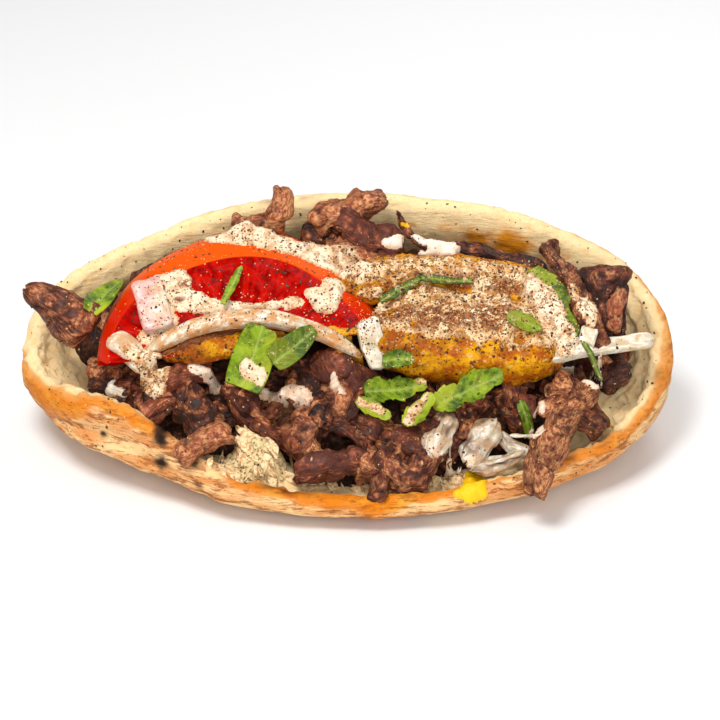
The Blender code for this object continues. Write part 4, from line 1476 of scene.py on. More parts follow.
@dataclass
class Meat:
    """All the sliced meat.

    Attributes:
        shape: The bread that holds it.
        seed: Picks the small scraps.
    """

    shape: BreadShape
    seed: int = 7

    # The map of heights by which hollows are found: its cells, and its first cell's distance from the tray's foot.
    GRID, GRID_START = (220, 160), (110, 30)
    SHARP_ANGLE = math.radians(52)

    def build(self, onions: Sequence[Piece]) -> list[Piece]:
        """Makes the heap, its slices and scraps and the loose slices.

        Args:
            onions: Pieces that some of the scraps lie on.

        Returns:
            The pieces.
        """
        finish = MeatFinish().build()
        heap = self._slices(Surface(onions))
        loose = {name: self._seared(strip, 1.0) for name, strip in LOOSE_SLICES.items()}
        # Points deep between the slices get painted shade.
        self._paint_gap_shade([heap, *loose.values()])
        made = [self._core(finish), heap.piece("heap_slices", finish, Slot.MEAT, ["meat_heap"])]
        made.append(self._scraps("heap_scraps", finish, Surface([*made, *onions]), SCRAP_AREAS, ("heap",), 1.0))
        for name, lump in loose.items():
            made.append(lump.piece(name + "_seared", finish, Slot.MEAT, [name]))
        made.append(self._scraps("heap_rear", finish, Surface(made), REAR_AREAS, ("heap_core",), 0.25))
        for piece in made[1:]:
            piece.data.set_sharp_from_angle(angle=self.SHARP_ANGLE)
        return made

    def _paint_gap_shade(self, lumps: Sequence[Lump]) -> None:
        """Marks the points that lie deep between their neighbours, for painted shade there.

        Args:
            lumps: The slices.
        """
        u, w, heights = in_tray(np.concatenate([lump.points for lump in lumps]))
        places = np.stack((u + self.GRID_START[0], w + self.GRID_START[1])).astype(int)
        top = np.full(self.GRID, -12.0)
        np.maximum.at(top, tuple(places), heights)
        for _ in range(16):
            top = (top + sum(np.roll(top, way, axis) for way in (-1, 1) for axis in (0, 1))) / 5
        deep = np.clip((top[tuple(places)] - heights - 0.5) / 3.6, 0, 1)
        ends = np.cumsum([len(lump.points) for lump in lumps])[:-1]
        for lump, share in zip(lumps, np.split(deep, ends)):
            lump.fields["deep"] = np.maximum(lump.fields["deep"], share)

    @staticmethod
    def _seared(strip: Strip, fineness: float) -> Lump:
        """A slice with a mesh as fine as its size asks.

        Args:
            strip: The slice.
            fineness: Scale of the number of points each way.

        Returns:
            The slice.
        """
        length = math.dist(strip.start, strip.end)
        rings = int(max(14, min(90, length * 2.4 * fineness)))
        sides = int(max(14, min(60, (strip.width + strip.thick) * 2.8 * fineness)))
        strip = replace(strip, facets=strip.facets or 2.6, frayed=1.0, blunt=12.0, square=4.0, rough=0.6 * strip.rough,
                        width=1.1 * strip.width)
        return strip.lump(rings, sides, meat_relief)

    def _core(self, finish: Material) -> Piece:
        """The middle of the heap, which shows between the slices, darkened by painted shade that is strongest at the
        front.

        Args:
            finish: The meat's material.

        Returns:
            The piece.
        """
        theta = np.linspace(0, 2 * math.pi, 300, endpoint=False)[None, :]
        depth = self.shape.fill_depth(theta)
        keel = self.shape.keel
        below = np.concatenate([self.shape.inner(theta, depth + (keel - depth) * s, 0.8)[0]
                                for s in (1.0, 0.6, 0.25)])
        edge_u, edge_w, edge_h = in_tray(self.shape.inner(theta, depth, 0.8)[0])
        share = np.linspace(1.0, 0.02, 80)[:, None]
        u = share * edge_u
        w = 40.0 + (edge_w - 40.0) * share
        h = -2.5 + (edge_h + 2.5) * share**4
        flat = np.stack((u, w, 0 * u), -1)
        rugged = 1.1 * fractal(flat, 6.0, 4, 60) - 1.2 * gate(smooth_noise(flat, 3.0, 61) - 0.25, 8)
        rear = gate(w - 72, 0.3)
        rugged += rear * (0.6 - 2.2 * np.maximum(0, 1 - 4 * np.abs(smooth_noise(flat * (0.6, 1, 1), 5.0, 62))))
        top = tray(u, w, h - 0.8 + rugged * np.minimum(1, (1 - share) * 8))
        points, faces = closed_shell(np.concatenate((below, top)))
        plain = np.zeros(len(points))
        # Painted shade over the top: strong at the front, weaker towards the rear and darker in its creases there.
        painted_core_shade = np.concatenate((np.zeros(below.shape[:2]), 0.9 - 0.6 * rear - 0.5 * rear * rugged)).ravel()
        deep = np.clip(np.concatenate((painted_core_shade, (0.5, 0.5))), 0, 1)
        fields = {"grain": points * 0.6, "pink": plain, "deep": deep, "tone": plain + 0.5}
        return Lump(points, faces, fields).outward().piece("heap_core", finish, Slot.MEAT, ["meat_heap"])

    def _slices(self, onions: Surface) -> Lump:
        """The slices that the solid heap shows, pressed down where onion lies on them.

        Args:
            onions: The onion.

        Returns:
            The slices as one lump.
        """
        lumps = []
        for number, (start, end, width, thick, bend, pink) in enumerate(HEAP_SLICES):
            strip = Strip(start, end, width, thick, bend, rough=1.6, grain=5.0, seed=number, pink=pink)
            lumps.append(self._seared(strip, 0.85))
        heap = Lump.joined(lumps)
        u, w, h = in_tray(heap.points)
        for i in np.flatnonzero((u > 16) & (u < 56) & (w > 2) & (w < 30)):
            found = onions.hit(u[i], w[i])
            if found and h[i] > found[3] - 0.9:
                heap.points[i] -= (h[i] - found[3] + 0.9) * TRAY_OUT
        return heap

    def _scraps(self, name: str, finish: Material, ground: Surface, areas: tuple[Area, ...],
                on: tuple[str, ...], uneven: float) -> Piece:
        """Small shreds that fill the gaps between the slices.

        Args:
            name: The piece's name.
            finish: The meat's material.
            ground: What they lie on.
            areas: Where they lie.
            on: Starts of the names of the pieces that hold them.
            uneven: How unevenly they lie.

        Returns:
            The piece.
        """
        draw = random.Random(self.seed)
        lumps, broad = [], 1.5 - 0.5 * uneven
        for low_u, high_u, low_w, high_w, count in areas:
            for _ in range(count):
                u, w = draw.uniform(low_u, high_u), draw.uniform(low_w, high_w)
                found = ground.hit(u, w)
                if found is None or not found[2].startswith(on):
                    continue
                length, turn = draw.uniform(4, 11) * broad, draw.uniform(0, math.pi)
                du, dw = length / 2 * math.cos(turn), length / 2 * math.sin(turn)
                tilt, width = draw.uniform(-1.4, 1.4) * uneven, draw.uniform(2.4, 6.5) * broad
                h, arch = found[3] - 1.6 + 0.8 * uneven, draw.uniform(-0.6, 1.4) * uneven
                strip = Strip((u - du, w - dw, h - tilt), (u + du, w + dw, h + tilt), width, draw.uniform(1.4, 2.8),
                              draw.uniform(-1.5, 1.5), arch, roll=draw.uniform(-35, 35) * uneven, rough=1.0,
                              grain=3.5, seed=draw.randrange(200, 900), pink=draw.choice((0.0, 0.1, 0.3, 0.8)))
                lumps.append(self._seared(strip, 0.8))
        LOG.info("%s: %d scraps", name, len(lumps))
        return Lump.joined(lumps).piece(name, finish, Slot.MEAT, ["meat_heap"])


# ------------------------------------------------------------------ vegetables


@dataclass
class Tomato:
    """The half slice of tomato.

    Attributes:
        middle: Middle of its widest outline.
        radii: Radii of that outline.
        face_middle: Middle of its cut face.
        face_radii: Radii of the cut face.
    """

    middle: tuple[float, float] = (-28.5, 37.0)
    radii: tuple[float, float] = (40.5, 44.0)
    face_middle: tuple[float, float] = (-29.0, 33.0)
    face_radii: tuple[float, float] = (36.5, 35.5)

    LEVELS = ((0.1, -1.0), (0.0, 1.0), (0.35, 5.0), (1.0, 8.5))
    ARC_POINTS, CHORD_POINTS, SIDE_RINGS, FACE_RINGS = 210, 92, 34, 42

    def _ring(self, share: float, height: float, inward: float = 0.0) -> Array:
        """The outline at one height.

        Args:
            share: 0 at the widest outline and 1 at the cut face.
            height: Tray height.
            inward: How far the ring has shrunk to the middle of the cut face, from 0 to 1.

        Returns:
            Points round the slice.
        """
        angle = np.linspace(math.radians(19), math.radians(177), self.ARC_POINTS)
        wavy = 1 + 0.015 * np.sin(5 * angle + 1.0)
        radii = np.array(self.radii) * (1 - share) + np.array(self.face_radii) * share
        middle = np.array(self.middle) * (1 - share) + np.array(self.face_middle) * share
        arc = np.stack((middle[0] + radii[0] * wavy * np.cos(angle), middle[1] + radii[1] * wavy * np.sin(angle)), -1)
        t = np.linspace(0, 1, self.CHORD_POINTS)[1:-1, None]
        ring = np.concatenate((arc, arc[-1] * (1 - t) + arc[0] * t))
        ring = ring + (ring.mean(0) - ring) * inward
        return tray(ring[:, 0], ring[:, 1], np.full(len(ring), height))

    def build(self) -> Piece:
        """Makes the slice.

        Returns:
            The piece.
        """
        levels = np.linspace(0, 3, self.SIDE_RINGS)
        rings = [self._ring(*(float(np.interp(level, range(4), values)) for values in zip(*self.LEVELS)))
                 for level in levels]
        rings += [self._ring(1.0, 8.5 - 0.6 * min(1.0, inward * 8), inward)
                  for inward in np.linspace(0.02, 0.96, self.FACE_RINGS)]
        points = np.stack(rings)
        cut = np.zeros(points.shape[:2])
        cut[self.SIDE_RINGS:] = cut[:, self.ARC_POINTS:] = 1.0
        relief = cut * (0.16 * fractal(points, 2.4, 3, 21) - 0.3 * gate(smooth_noise(points, 5.5, 22) - 0.3, 6))
        relief = relief + (1 - cut) * 0.18 * fractal(points, 9.0, 2, 23)
        points = points + relief[..., None] * TRAY_OUT
        made, faces = closed_shell(points)
        u = points[..., 0] - self.face_middle[0]
        w = in_tray(points)[1] - self.face_middle[1]
        grain = np.stack((np.hypot(u, w) * 0.25, np.arctan2(w, u) * 14, np.zeros(u.shape)), -1)
        warm = gate(in_tray(made)[1] - 62, 0.12)
        lump = Lump(made, faces, {"grain": with_ends(grain), "cut": with_ends(cut), "warm": warm}).outward()
        return lump.piece("tomato_wet", TomatoFinish().build(), Slot.TOMATO, ["tomato_slice"])


@dataclass
class Vegetables:
    """The onion segments and the aubergine slices."""

    SQUARE = {"onion_quill": 7.0, "onion_right": 5.0, "onion_red": 6.0, "onion_end": 7.0}
    DUSTY = {"onion_arc": 1.0, "onion_left": 0.8, "onion_red": 0.5}

    def build(self) -> list[Piece]:
        """Makes them.

        Returns:
            The pieces.
        """
        onion, aubergine = OnionFinish().build(), AubergineFinish().build()
        made = []
        for name, strip in ONION_STRIPS.items():
            length = math.dist(strip.start, strip.end)
            low = name.startswith("onion_low")
            square = self.SQUARE.get(name, 2.6)
            strip = replace(strip, grain=5.0, blunt=6.0 if square < 3 else 20.0, frayed=1.5 if low else 0.5,
                            square=square)
            lump = strip.lump(int(max(24, length * 2.6)), 56, shred_relief if low else onion_relief)
            if name == "onion_red":
                u = lump.points[:, 0]
                lump.fields["pink"] = gate(fractal(lump.points, 5.0, 3, 3) + 0.1 - 0.12 * (u + 53), 5) * 0.6
            lump.fields["dusty"] = np.full(len(lump.points), self.DUSTY.get(name, 0.65 if low else 0.15))
            # The low onion gets painted shade all over, on top of that in its creases.
            if low:
                lump.fields["deep"] = np.clip(lump.fields["deep"] + 0.25, 0, 1)
            made.append(lump.piece(name + "_raw", onion, Slot.ONION, [name]))
        for name, strip in AUBERGINE_STRIPS.items():
            lump = strip.lump(120 if name != "aubergine_narrow" else 70, 96, slab_relief)
            x = lump.points[:, 0]
            lump.fields["fried"] = gate(-x - 40, 0.5) if name == "aubergine_narrow" else 0.5 * gate(16 - x, 0.12)
            made.append(lump.piece(name + "_sauced", aubergine, Slot.AUBERGINE, [name]))
        return made


@dataclass(frozen=True)
class Leaf:
    """A parsley leaf laid on the pile.

    Attributes:
        base: Tray coordinates (u, w) of its stem end.
        tip: Tray coordinates of its tip.
        width: Its greatest width.
        lobes: How many lobes each side has.
        teeth: How many teeth each side has.
        swell: Below 1 it is widest near its base, above 1 near its tip.
        blunt: How fast it narrows to its ends; near 0 they are square.
        crinkle: Height of its crinkles.
        shade: How much darker it is than the others.
    """

    base: tuple[float, float]
    tip: tuple[float, float]
    width: float
    lobes: int = 0
    teeth: int = 3
    swell: float = 1.0
    blunt: float = 0.5
    crinkle: float = 0.4
    shade: float = 0.0

    def half_width(self, share: Array) -> Array:
        """Half its width along its length.

        Args:
            share: 0 at its base and 1 at its tip.

        Returns:
            Half widths.
        """
        full = np.maximum(0.06, np.sin(math.pi * np.minimum(1.0, 0.08 + 0.92 * share**self.swell))) ** self.blunt
        notch = 0.34 * np.abs(np.sin(math.pi * (self.lobes + 0.5) * share)) if self.lobes else 0.34
        teeth = 0.80 + 0.24 * ((share * self.teeth + 0.25) % 1.0) ** 0.7 if self.teeth else 0.97
        return self.width / 2 * full * (0.68 + notch) * teeth

    def build(self, name: str, finish: Material, solid: Surface) -> Piece:
        """Makes the leaf on top of its solid.

        Args:
            name: The solid's name.
            finish: The leaf's material.
            solid: The solid leaf, which gives the heights.

        Returns:
            The piece.
        """
        base, tip = np.array(self.base), np.array(self.tip)
        length = float(np.linalg.norm(tip - base))
        run = (tip - base) / length
        side = np.array((-run[1], run[0]))
        share = np.linspace(0.01, 0.985, int(max(24, length * 3)))[:, None]
        across = np.linspace(-1, 1, 25)[None, :]
        half = self.half_width(share)
        flat = base + run * (share * length + 0 * across)[..., None] + side * (half * across)[..., None]
        heights = solid.heights(flat[..., 0], flat[..., 1], math.nan)
        for shrink in (0.92, 0.8, 0.6, 0.3, 0.0):
            lost = np.isnan(heights)
            if not lost.any():
                break
            nearer = base + run * (np.clip(share, 0.06, 0.94) * length + 0 * across)[..., None]
            nearer = nearer + side * (half * across * shrink)[..., None]
            heights[lost] = solid.heights(nearer[..., 0][lost], nearer[..., 1][lost], math.nan)
        heights = np.nan_to_num(heights, nan=float(np.nanmean(heights)))
        for _ in range(3):
            inner = heights.copy()
            inner[1:-1] = (heights[:-2] + heights[2:] + 2 * heights[1:-1]) / 4
            heights = inner
        middle_vein = np.exp(-np.abs(across) * half / 0.28)
        slanted = ((share * length - np.abs(across) * half * 0.9) / 2.1) % 1.0
        side_veins = np.exp(-np.abs(slanted - 0.5) * 14) * (1 - np.abs(across) ** 3)
        vein = np.clip(middle_vein + 0.6 * side_veins, 0, 1)
        spots = np.concatenate((flat, 0 * flat[..., :1]), -1)
        crinkles = 0.3 * fractal(spots, 4.0, 2, 70) + self.crinkle * np.abs(smooth_noise(spots, 1.9, 71))
        heights = heights + crinkles - 0.12 * vein
        upper, lower = tray(flat[..., 0], flat[..., 1], heights), tray(flat[..., 0], flat[..., 1], heights - 0.4)
        rings = np.concatenate((upper, lower[:, ::-1]), axis=1)
        points, faces = closed_shell(rings)
        veins = np.concatenate((np.concatenate((vein, vein[:, ::-1]), axis=1).ravel(), (0.0, 0.0)))
        shade = np.full(len(points), self.shade)
        lump = Lump(points, faces, {"vein": veins, "shade": shade}).outward()
        return lump.piece(name + "_fresh", finish, Slot.LEAF, [name])


LEAVES: dict[str, Leaf] = {
    "leaf_far_left": Leaf((-70.5, 51), (-63.5, 66), 7.5, teeth=0, crinkle=0.1),
    "leaf_sliver": Leaf((-34, 52), (-29, 65), 2.6, teeth=4, crinkle=0.1),
    "leaf_arc_left": Leaf((-28.5, 29), (-22.5, 43.5), 11.5, teeth=0, swell=0.8, blunt=0.16, crinkle=0.12),
    "leaf_arc_right": Leaf((-20, 33.5), (-8.5, 43), 7.5, teeth=0, swell=0.7, blunt=0.35, crinkle=0.12, shade=0.6),
    "leaf_cross_long": Leaf((4.5, 28), (22, 31), 8.0, lobes=2, teeth=6),
    "leaf_cross_high": Leaf((9.5, 35.5), (18.5, 35), 5.0, teeth=3, crinkle=0.2, shade=0.3),
    "leaf_cross_right": Leaf((23, 24.5), (42.5, 31.5), 9.0, lobes=2, teeth=7),
    "leaf_cross_low": Leaf((15.5, 17.5), (23.5, 27), 6.5, lobes=1, teeth=4),
    "leaf_cross_left": Leaf((2.5, 25), (12, 20), 5.5, lobes=1, teeth=4),
    "leaf_slab": Leaf((43.5, 47.5), (53, 43.5), 5.5, teeth=2, crinkle=0.15, shade=0.4),
    "leaf_sauced": Leaf((51, 64), (62, 41), 10.5, lobes=1, teeth=3, shade=0.3),
    "leaf_top_left": Leaf((9, 54), (22, 62), 3.0, teeth=5, shade=0.9),
    "leaf_top_right": Leaf((20, 60), (35, 60), 3.0, lobes=1, teeth=6, shade=0.9),
    "leaf_low": Leaf((47, 27), (50.5, 18), 3.4, teeth=2, shade=0.3),
    "leaf_right": Leaf((64, 41), (70, 34), 1.6, teeth=0, shade=0.9),
}


@dataclass
class Parsley:
    """All the leaves.

    Attributes:
        solids: The solid leaves by name.
    """

    solids: dict[str, Piece]

    def build(self) -> list[Piece]:
        """Makes them."""
        finish = LeafFinish().build()
        return [leaf.build(name, finish, Surface([self.solids[name]])) for name, leaf in LEAVES.items()]


# ------------------------------------------------------------------ sauces and spices


@dataclass(frozen=True)
class Sauce:
    """A thick sauce poured over the pile.

    Attributes:
        name: The piece's name.
        finish: Its finish.
        slot: The record's material slot.
        runs: Runs of (u, w, radius) in tray coordinates.
        thick: Its thickness in the middle.
        ragged: How uneven its edge is.
        holes: Share of it that is bare, from 0 to 1.
        bridge: How many times it is smoothed over hollows.
        spice: Spots of (u, w, radius) with heaped spice.
        on: Starts of the names of the pieces that it lies on, or nothing for all.
        steep: Greatest step between neighbouring points, above which it tears.
        seed: Picks another edge.
    """

    name: str
    finish: SauceFinish
    slot: Slot
    runs: tuple[tuple[Triple, ...], ...]
    thick: float = 1.2
    ragged: float = 1.3
    holes: float = 0.0
    bridge: int = 10
    spice: tuple[Triple, ...] = ()
    on: tuple[str, ...] = ()
    steep: float = 3.6
    seed: int = 0

    # The mesh's step, its reach past the edge, the sink of that rim, the underside's depth and the edge's rounding.
    STEP, SKIRT, SINK, DEPTH, ROUNDING = 0.5, 0.9, 0.35, 0.7, 1.6

    def _distance(self, u: Array, w: Array) -> Array:
        """Signed distance from the sauce's edge, negative inside.

        Args:
            u: Tray coordinates.
            w: Tray coordinates.

        Returns:
            Distances.
        """
        nearest = np.full(u.shape, 99.0)
        for run in self.runs:
            for (u0, w0, r0), (u1, w1, r1) in zip(run, run[1:]):
                du, dw = u1 - u0, w1 - w0
                t = np.clip(((u - u0) * du + (w - w0) * dw) / max(1e-6, du * du + dw * dw), 0, 1)
                away = np.hypot(u - u0 - t * du, w - w0 - t * dw) - (r0 + t * (r1 - r0))
                nearest = np.minimum(nearest, away)
        spots = np.stack((u, w, np.full(u.shape, self.seed * 13.0)), -1)
        nearest = nearest + self.ragged * fractal(spots, 4.5, 4, self.seed + 50)
        if self.holes:
            bare = smooth_noise(spots, 3.2, self.seed + 51) - (1 - 1.6 * self.holes)
            nearest = np.maximum(nearest, bare * 2.5)
        return nearest

    def build(self, ground: Surface) -> Piece:
        """Makes the sauce over what lies below it.

        Args:
            ground: What it lies on.

        Returns:
            The piece.
        """
        ends = np.array([p for run in self.runs for p in run])
        low, high = (ends[:, :2] - ends[:, 2:]).min(0) - 3, (ends[:, :2] + ends[:, 2:]).max(0) + 3
        u, w = np.meshgrid(np.arange(low[0], high[0], self.STEP), np.arange(low[1], high[1], self.STEP),
                           indexing="ij")
        away = self._distance(u, w)
        near = away < self.SKIRT
        under = np.full(u.shape, NO_GROUND)
        under[near] = ground.heights(u[near], w[near])
        near &= under > NO_GROUND + 1
        over = np.where(near, under, np.nan)
        for _ in range(self.bridge):
            pad = np.pad(over, 1, constant_values=np.nan)
            beside = np.stack((pad[:-2, 1:-1], pad[2:, 1:-1], pad[1:-1, :-2], pad[1:-1, 2:]))
            known = ~np.isnan(beside)
            mean = np.where(known, beside, 0).sum(0) / np.maximum(1, known.sum(0))
            over = np.where(near, np.maximum(under, np.clip(mean, under - 1, under + self.steep)), np.nan)
        over = np.nan_to_num(over, nan=NO_GROUND)
        spots = np.stack((u, w, 0 * u), -1)
        lumpy = 0.45 * fractal(spots, 3.5, 3, self.seed + 52) + 0.3 * smooth_noise(spots, 1.3, self.seed + 53)
        full = np.sqrt(np.clip(-away / self.ROUNDING, 0, 1)) * self.thick * (1 + lumpy)
        top = np.where(away < 0, over + np.maximum(0.08, full), under - self.SINK)
        index = np.full(u.shape, -1)
        index[near] = np.arange(near.sum())
        quads = cell_corners(index).reshape(4, -1).T
        touched = cell_corners(away < 0).any(0).ravel()
        flat = (np.ptp(cell_corners(top), 0) < self.steep).ravel()
        quads = quads[touched & flat & (quads >= 0).all(1)]
        count = int(near.sum())
        upper = tray(u[near], w[near], top[near])
        lower = tray(u[near], w[near], np.minimum(top, over)[near] - self.DEPTH)
        edges = np.concatenate((quads[:, [0, 1]], quads[:, [1, 2]], quads[:, [2, 3]], quads[:, [3, 0]]))
        lone = {tuple(e) for e in edges.tolist()}
        border = [e for e in lone if (e[1], e[0]) not in lone]
        faces = quads.tolist() + (quads[:, ::-1] + count).tolist()
        faces += [[a, a + count, b + count, b] for a, b in border]
        thin = gate(0.55 - full[near] / self.thick + 0.4 * fractal(spots[near], 2.2, 3, 78), 5)
        spice = np.zeros(count)
        for spot_u, spot_w, radius in self.spice:
            edge = np.hypot(u[near] - spot_u, (w[near] - spot_w) * 1.8) / radius
            spice = np.maximum(spice, gate(1 - edge + 0.35 * fractal(spots[near], 3.0, 3, 77), 6))
        used = np.unique(np.array([i for face in faces for i in face]))
        renumber = np.full(2 * count, -1)
        renumber[used] = np.arange(len(used))
        points = np.concatenate((upper, lower))[used]
        faces = [[int(renumber[i]) for i in face] for face in faces]
        fields = {"spice": np.concatenate((spice, spice))[used], "thin": np.concatenate((thin, thin))[used]}
        lump = Lump(points, faces, fields).outward()
        LOG.info("%s: %d faces, %s to %s", self.name, len(faces), points.min(0).round(), points.max(0).round())
        return lump.piece(self.name, self.finish.build(), self.slot)


CREAM = rgb(251, 234, 204)
YELLOW = rgb(252, 200, 10)
ON_TOMATO = ("tomato", "onion_left")
SAUCES: tuple[Sauce, ...] = (
    Sauce("sauce_tomato_top", SauceFinish("cream_top", CREAM, dusted=0.6), Slot.TOMATO,
          (((-38.4, 77.4, 1.6), (-32, 77.2, 3.0), (-24, 76.2, 3.8), (-16, 74.0, 3.8), (-8, 71.5, 3.8),
            (-1.4, 68.3, 4.4), (4.2, 64.5, 4.2)),), thick=1.1, ragged=1.3, bridge=30, steep=8, seed=1),
    Sauce("sauce_tomato_left", SauceFinish("cream_left", CREAM, dusted=0.6), Slot.TOMATO,
          (((-53, 62, 1.4), (-46, 61.0, 3.0), (-46, 56.5, 4.8), (-41, 54, 4.2), (-33, 52.3, 2.6), (-24, 53, 1.8),
            (-13, 54, 2.2)), ((-53, 54, 2.2), (-50, 48, 3.6), (-54, 43, 3.0))),
          thick=0.7, ragged=1.5, holes=0.12, spice=((-44.5, 60, 2.2), (-46, 55, 1.6)), on=ON_TOMATO, seed=2),
    Sauce("sauce_tomato_right", SauceFinish("cream_right", CREAM, dusted=0.35), Slot.TOMATO,
          (((-9, 56.5, 2.6), (-5.5, 54.5, 4.4), (-3, 60, 3.2)), ((3.2, 59.6, 1.6), (5.5, 60.5, 1.4))), thick=1.3,
          ragged=1.2, on=ON_TOMATO, seed=3),
    Sauce("sauce_left_run", SauceFinish("cream_run", CREAM, dusted=0.9), Slot.TOMATO,
          (((-59, 38.5, 1.2), (-55, 37, 3.0), (-52, 34, 3.8), (-52, 31, 2.6)),),
          thick=1.0, ragged=1.2, bridge=20, steep=7, seed=4),
    Sauce("sauce_slab_top", SauceFinish("cream_slab", rgb(252, 230, 186), rgb(200, 130, 44), 1.0),
          Slot.AUBERGINE,
          (((2, 64, 3.0), (14, 64.5, 4.0), (30, 64, 4.5), (46, 61.5, 4.5), (57, 57, 4.5)),
           ((8, 53, 6.0), (20, 51, 9.0), (34, 49, 8.5), (48, 47, 8.5), (57, 45, 6.0)),
           ((57, 50, 6.0), (61, 42, 4.0), (61.5, 37, 2.2))), thick=1.1, ragged=2.2, holes=0.25, bridge=8,
          spice=((14, 50, 6), (26, 48.5, 9), (38, 48.5, 8), (30, 60, 6), (44, 59, 5), (20, 62, 3)),
          on=("aubergine",), seed=5),
    Sauce("sauce_slab_right", SauceFinish("cream_slab_right", CREAM, dusted=0.7), Slot.AUBERGINE,
          (((50, 60, 1.6), (53, 55, 4.0), (56, 49, 4.4), (59, 43, 3.6), (61, 38.5, 2.6)),
           ((6, 54, 1.0), (12, 54, 1.4), (19, 53, 1.0)), ((36, 57, 1.2), (42, 53, 1.6))),
          thick=1.0, ragged=1.8, bridge=6, on=("aubergine", "onion_end", "leaf_sauced", "onion_right"), seed=15),
    Sauce("sauce_right_strip", SauceFinish("cream_strip", CREAM, dusted=0.8), Slot.MEAT,
          (((62.5, 58, 1.6), (65, 52, 2.4), (66.5, 48, 1.8)),), thick=0.35, ragged=2.0, holes=0.3, bridge=1,
          on=("meat_right_strip",), seed=16),
    Sauce("sauce_rear_patch", SauceFinish("cream_rear", rgb(248, 240, 226), dusted=0.12), Slot.AUBERGINE,
          (((11, 74, 1.6), (18, 75.5, 2.6), (25, 75, 2.8), (30, 73, 1.8)),), thick=1.0, bridge=20, seed=6),
    Sauce("sauce_leaf_blob", SauceFinish("cream_blob", CREAM, dusted=0.35), Slot.LEAF,
          (((-27, 33.5, 2.4), (-23.5, 31.5, 2.6)),), thick=0.7, ragged=0.9, bridge=2, on=("leaf_arc",), seed=17),
    Sauce("sauce_under_leaf", SauceFinish("cream_leaf", rgb(240, 226, 208), dusted=0.3), Slot.AUBERGINE,
          (((-22, 31.5, 1.8), (-17, 29.5, 2.0), (-11, 27.5, 1.9)), ((-42, 36, 1.2), (-36, 34, 1.8)),
           ((-3.5, 33.5, 0.8), (-1.5, 28, 0.9))), thick=0.5, ragged=1.4, holes=0.1, bridge=8,
          on=("heap",), steep=6, seed=7),
    Sauce("sauce_leaf_dusting", SauceFinish("cream_dusting", rgb(240, 212, 176), dusted=0.8), Slot.LEAF,
          (((3, 24, 1.4), (9, 22.5, 1.8), (15, 25, 1.6)), ((16, 17.5, 1.3), (18.5, 22, 1.7), (21, 27, 1.5)),
           ((19, 34, 1.8), (26, 30.5, 1.6))), thick=0.45, ragged=1.2, bridge=2, on=("leaf_cross",), seed=8),
    Sauce("sauce_low_right", SauceFinish("cream_low", rgb(240, 230, 212), dusted=0.15), Slot.ONION,
          (((23, 12, 1.6), (25, 19, 2.2)), ((28, 10, 1.2), (33, 9, 1.4)), ((51, 16, 1.8), (52, 24, 2.4))),
          thick=0.4, holes=0.35, ragged=2.0, bridge=3, seed=9),
    Sauce("sauce_right_run", SauceFinish("cream_side", rgb(246, 238, 222), dusted=0.15), Slot.ONION,
          (((59, 42, 1.8), (62, 40.5, 3.0), (65.5, 38.5, 3.4), (66.5, 34.5, 2.6), (67, 31.5, 1.2)),), thick=0.7,
          holes=0.15, ragged=1.6, bridge=8, on=("heap", "meat", "onion_right"), steep=6, seed=10),
    Sauce("sauce_yellow_drip", SauceFinish("yellow_drip", YELLOW, rgb(246, 178, 6), 0.0), Slot.AUBERGINE,
          (((34.5, 9, 2.2), (34.2, 4, 3.2), (33.6, 1, 3.4), (33.2, -0.6, 2.8)), ((36, -0.6, 1.4), (29.5, -1.2, 1.4))),
          thick=0.9, ragged=0.6, bridge=6, on=("bread",), steep=6, seed=11),
    Sauce("sauce_yellow_rim", SauceFinish("yellow_rim", YELLOW, rgb(220, 130, 4), 0.3), Slot.AUBERGINE,
          (((72.5, 26, 0.8), (73.6, 25.4, 0.9)), ((-42, 54, 0.9), (-41, 56, 0.8)), ((15.5, 82, 0.7), (17, 81, 1.1)),
           ((28, 80, 0.8), (30, 79.5, 0.9))), thick=0.4, ragged=0.3, bridge=1, seed=12),
    Sauce("sauce_yellow_join", SauceFinish("yellow_join", rgb(236, 170, 10), rgb(150, 84, 10), 0.5),
          Slot.AUBERGINE, (((-4, 45, 1.6), (3, 45, 1.8), (8, 44, 1.8)), ((-2, 41, 1.2), (4, 42, 1.2))), thick=0.7,
          ragged=0.8, bridge=8, on=("aubergine", "tomato", "heap"), seed=13),
    Sauce("sauce_brown_glaze", SauceFinish("brown_glaze", rgb(120, 58, 6), rgb(60, 22, 4), 0.2), Slot.AUBERGINE,
          (((-50, 38.5, 1.4), (-42, 41.5, 2.6), (-35, 44, 1.6), (-26, 46, 1.0)), ((-20, 47, 1.2), (-8, 43, 1.4))),
          thick=0.3, ragged=1.4, holes=0.15, bridge=5, on=("tomato", "aubergine_narrow"), seed=14),
)


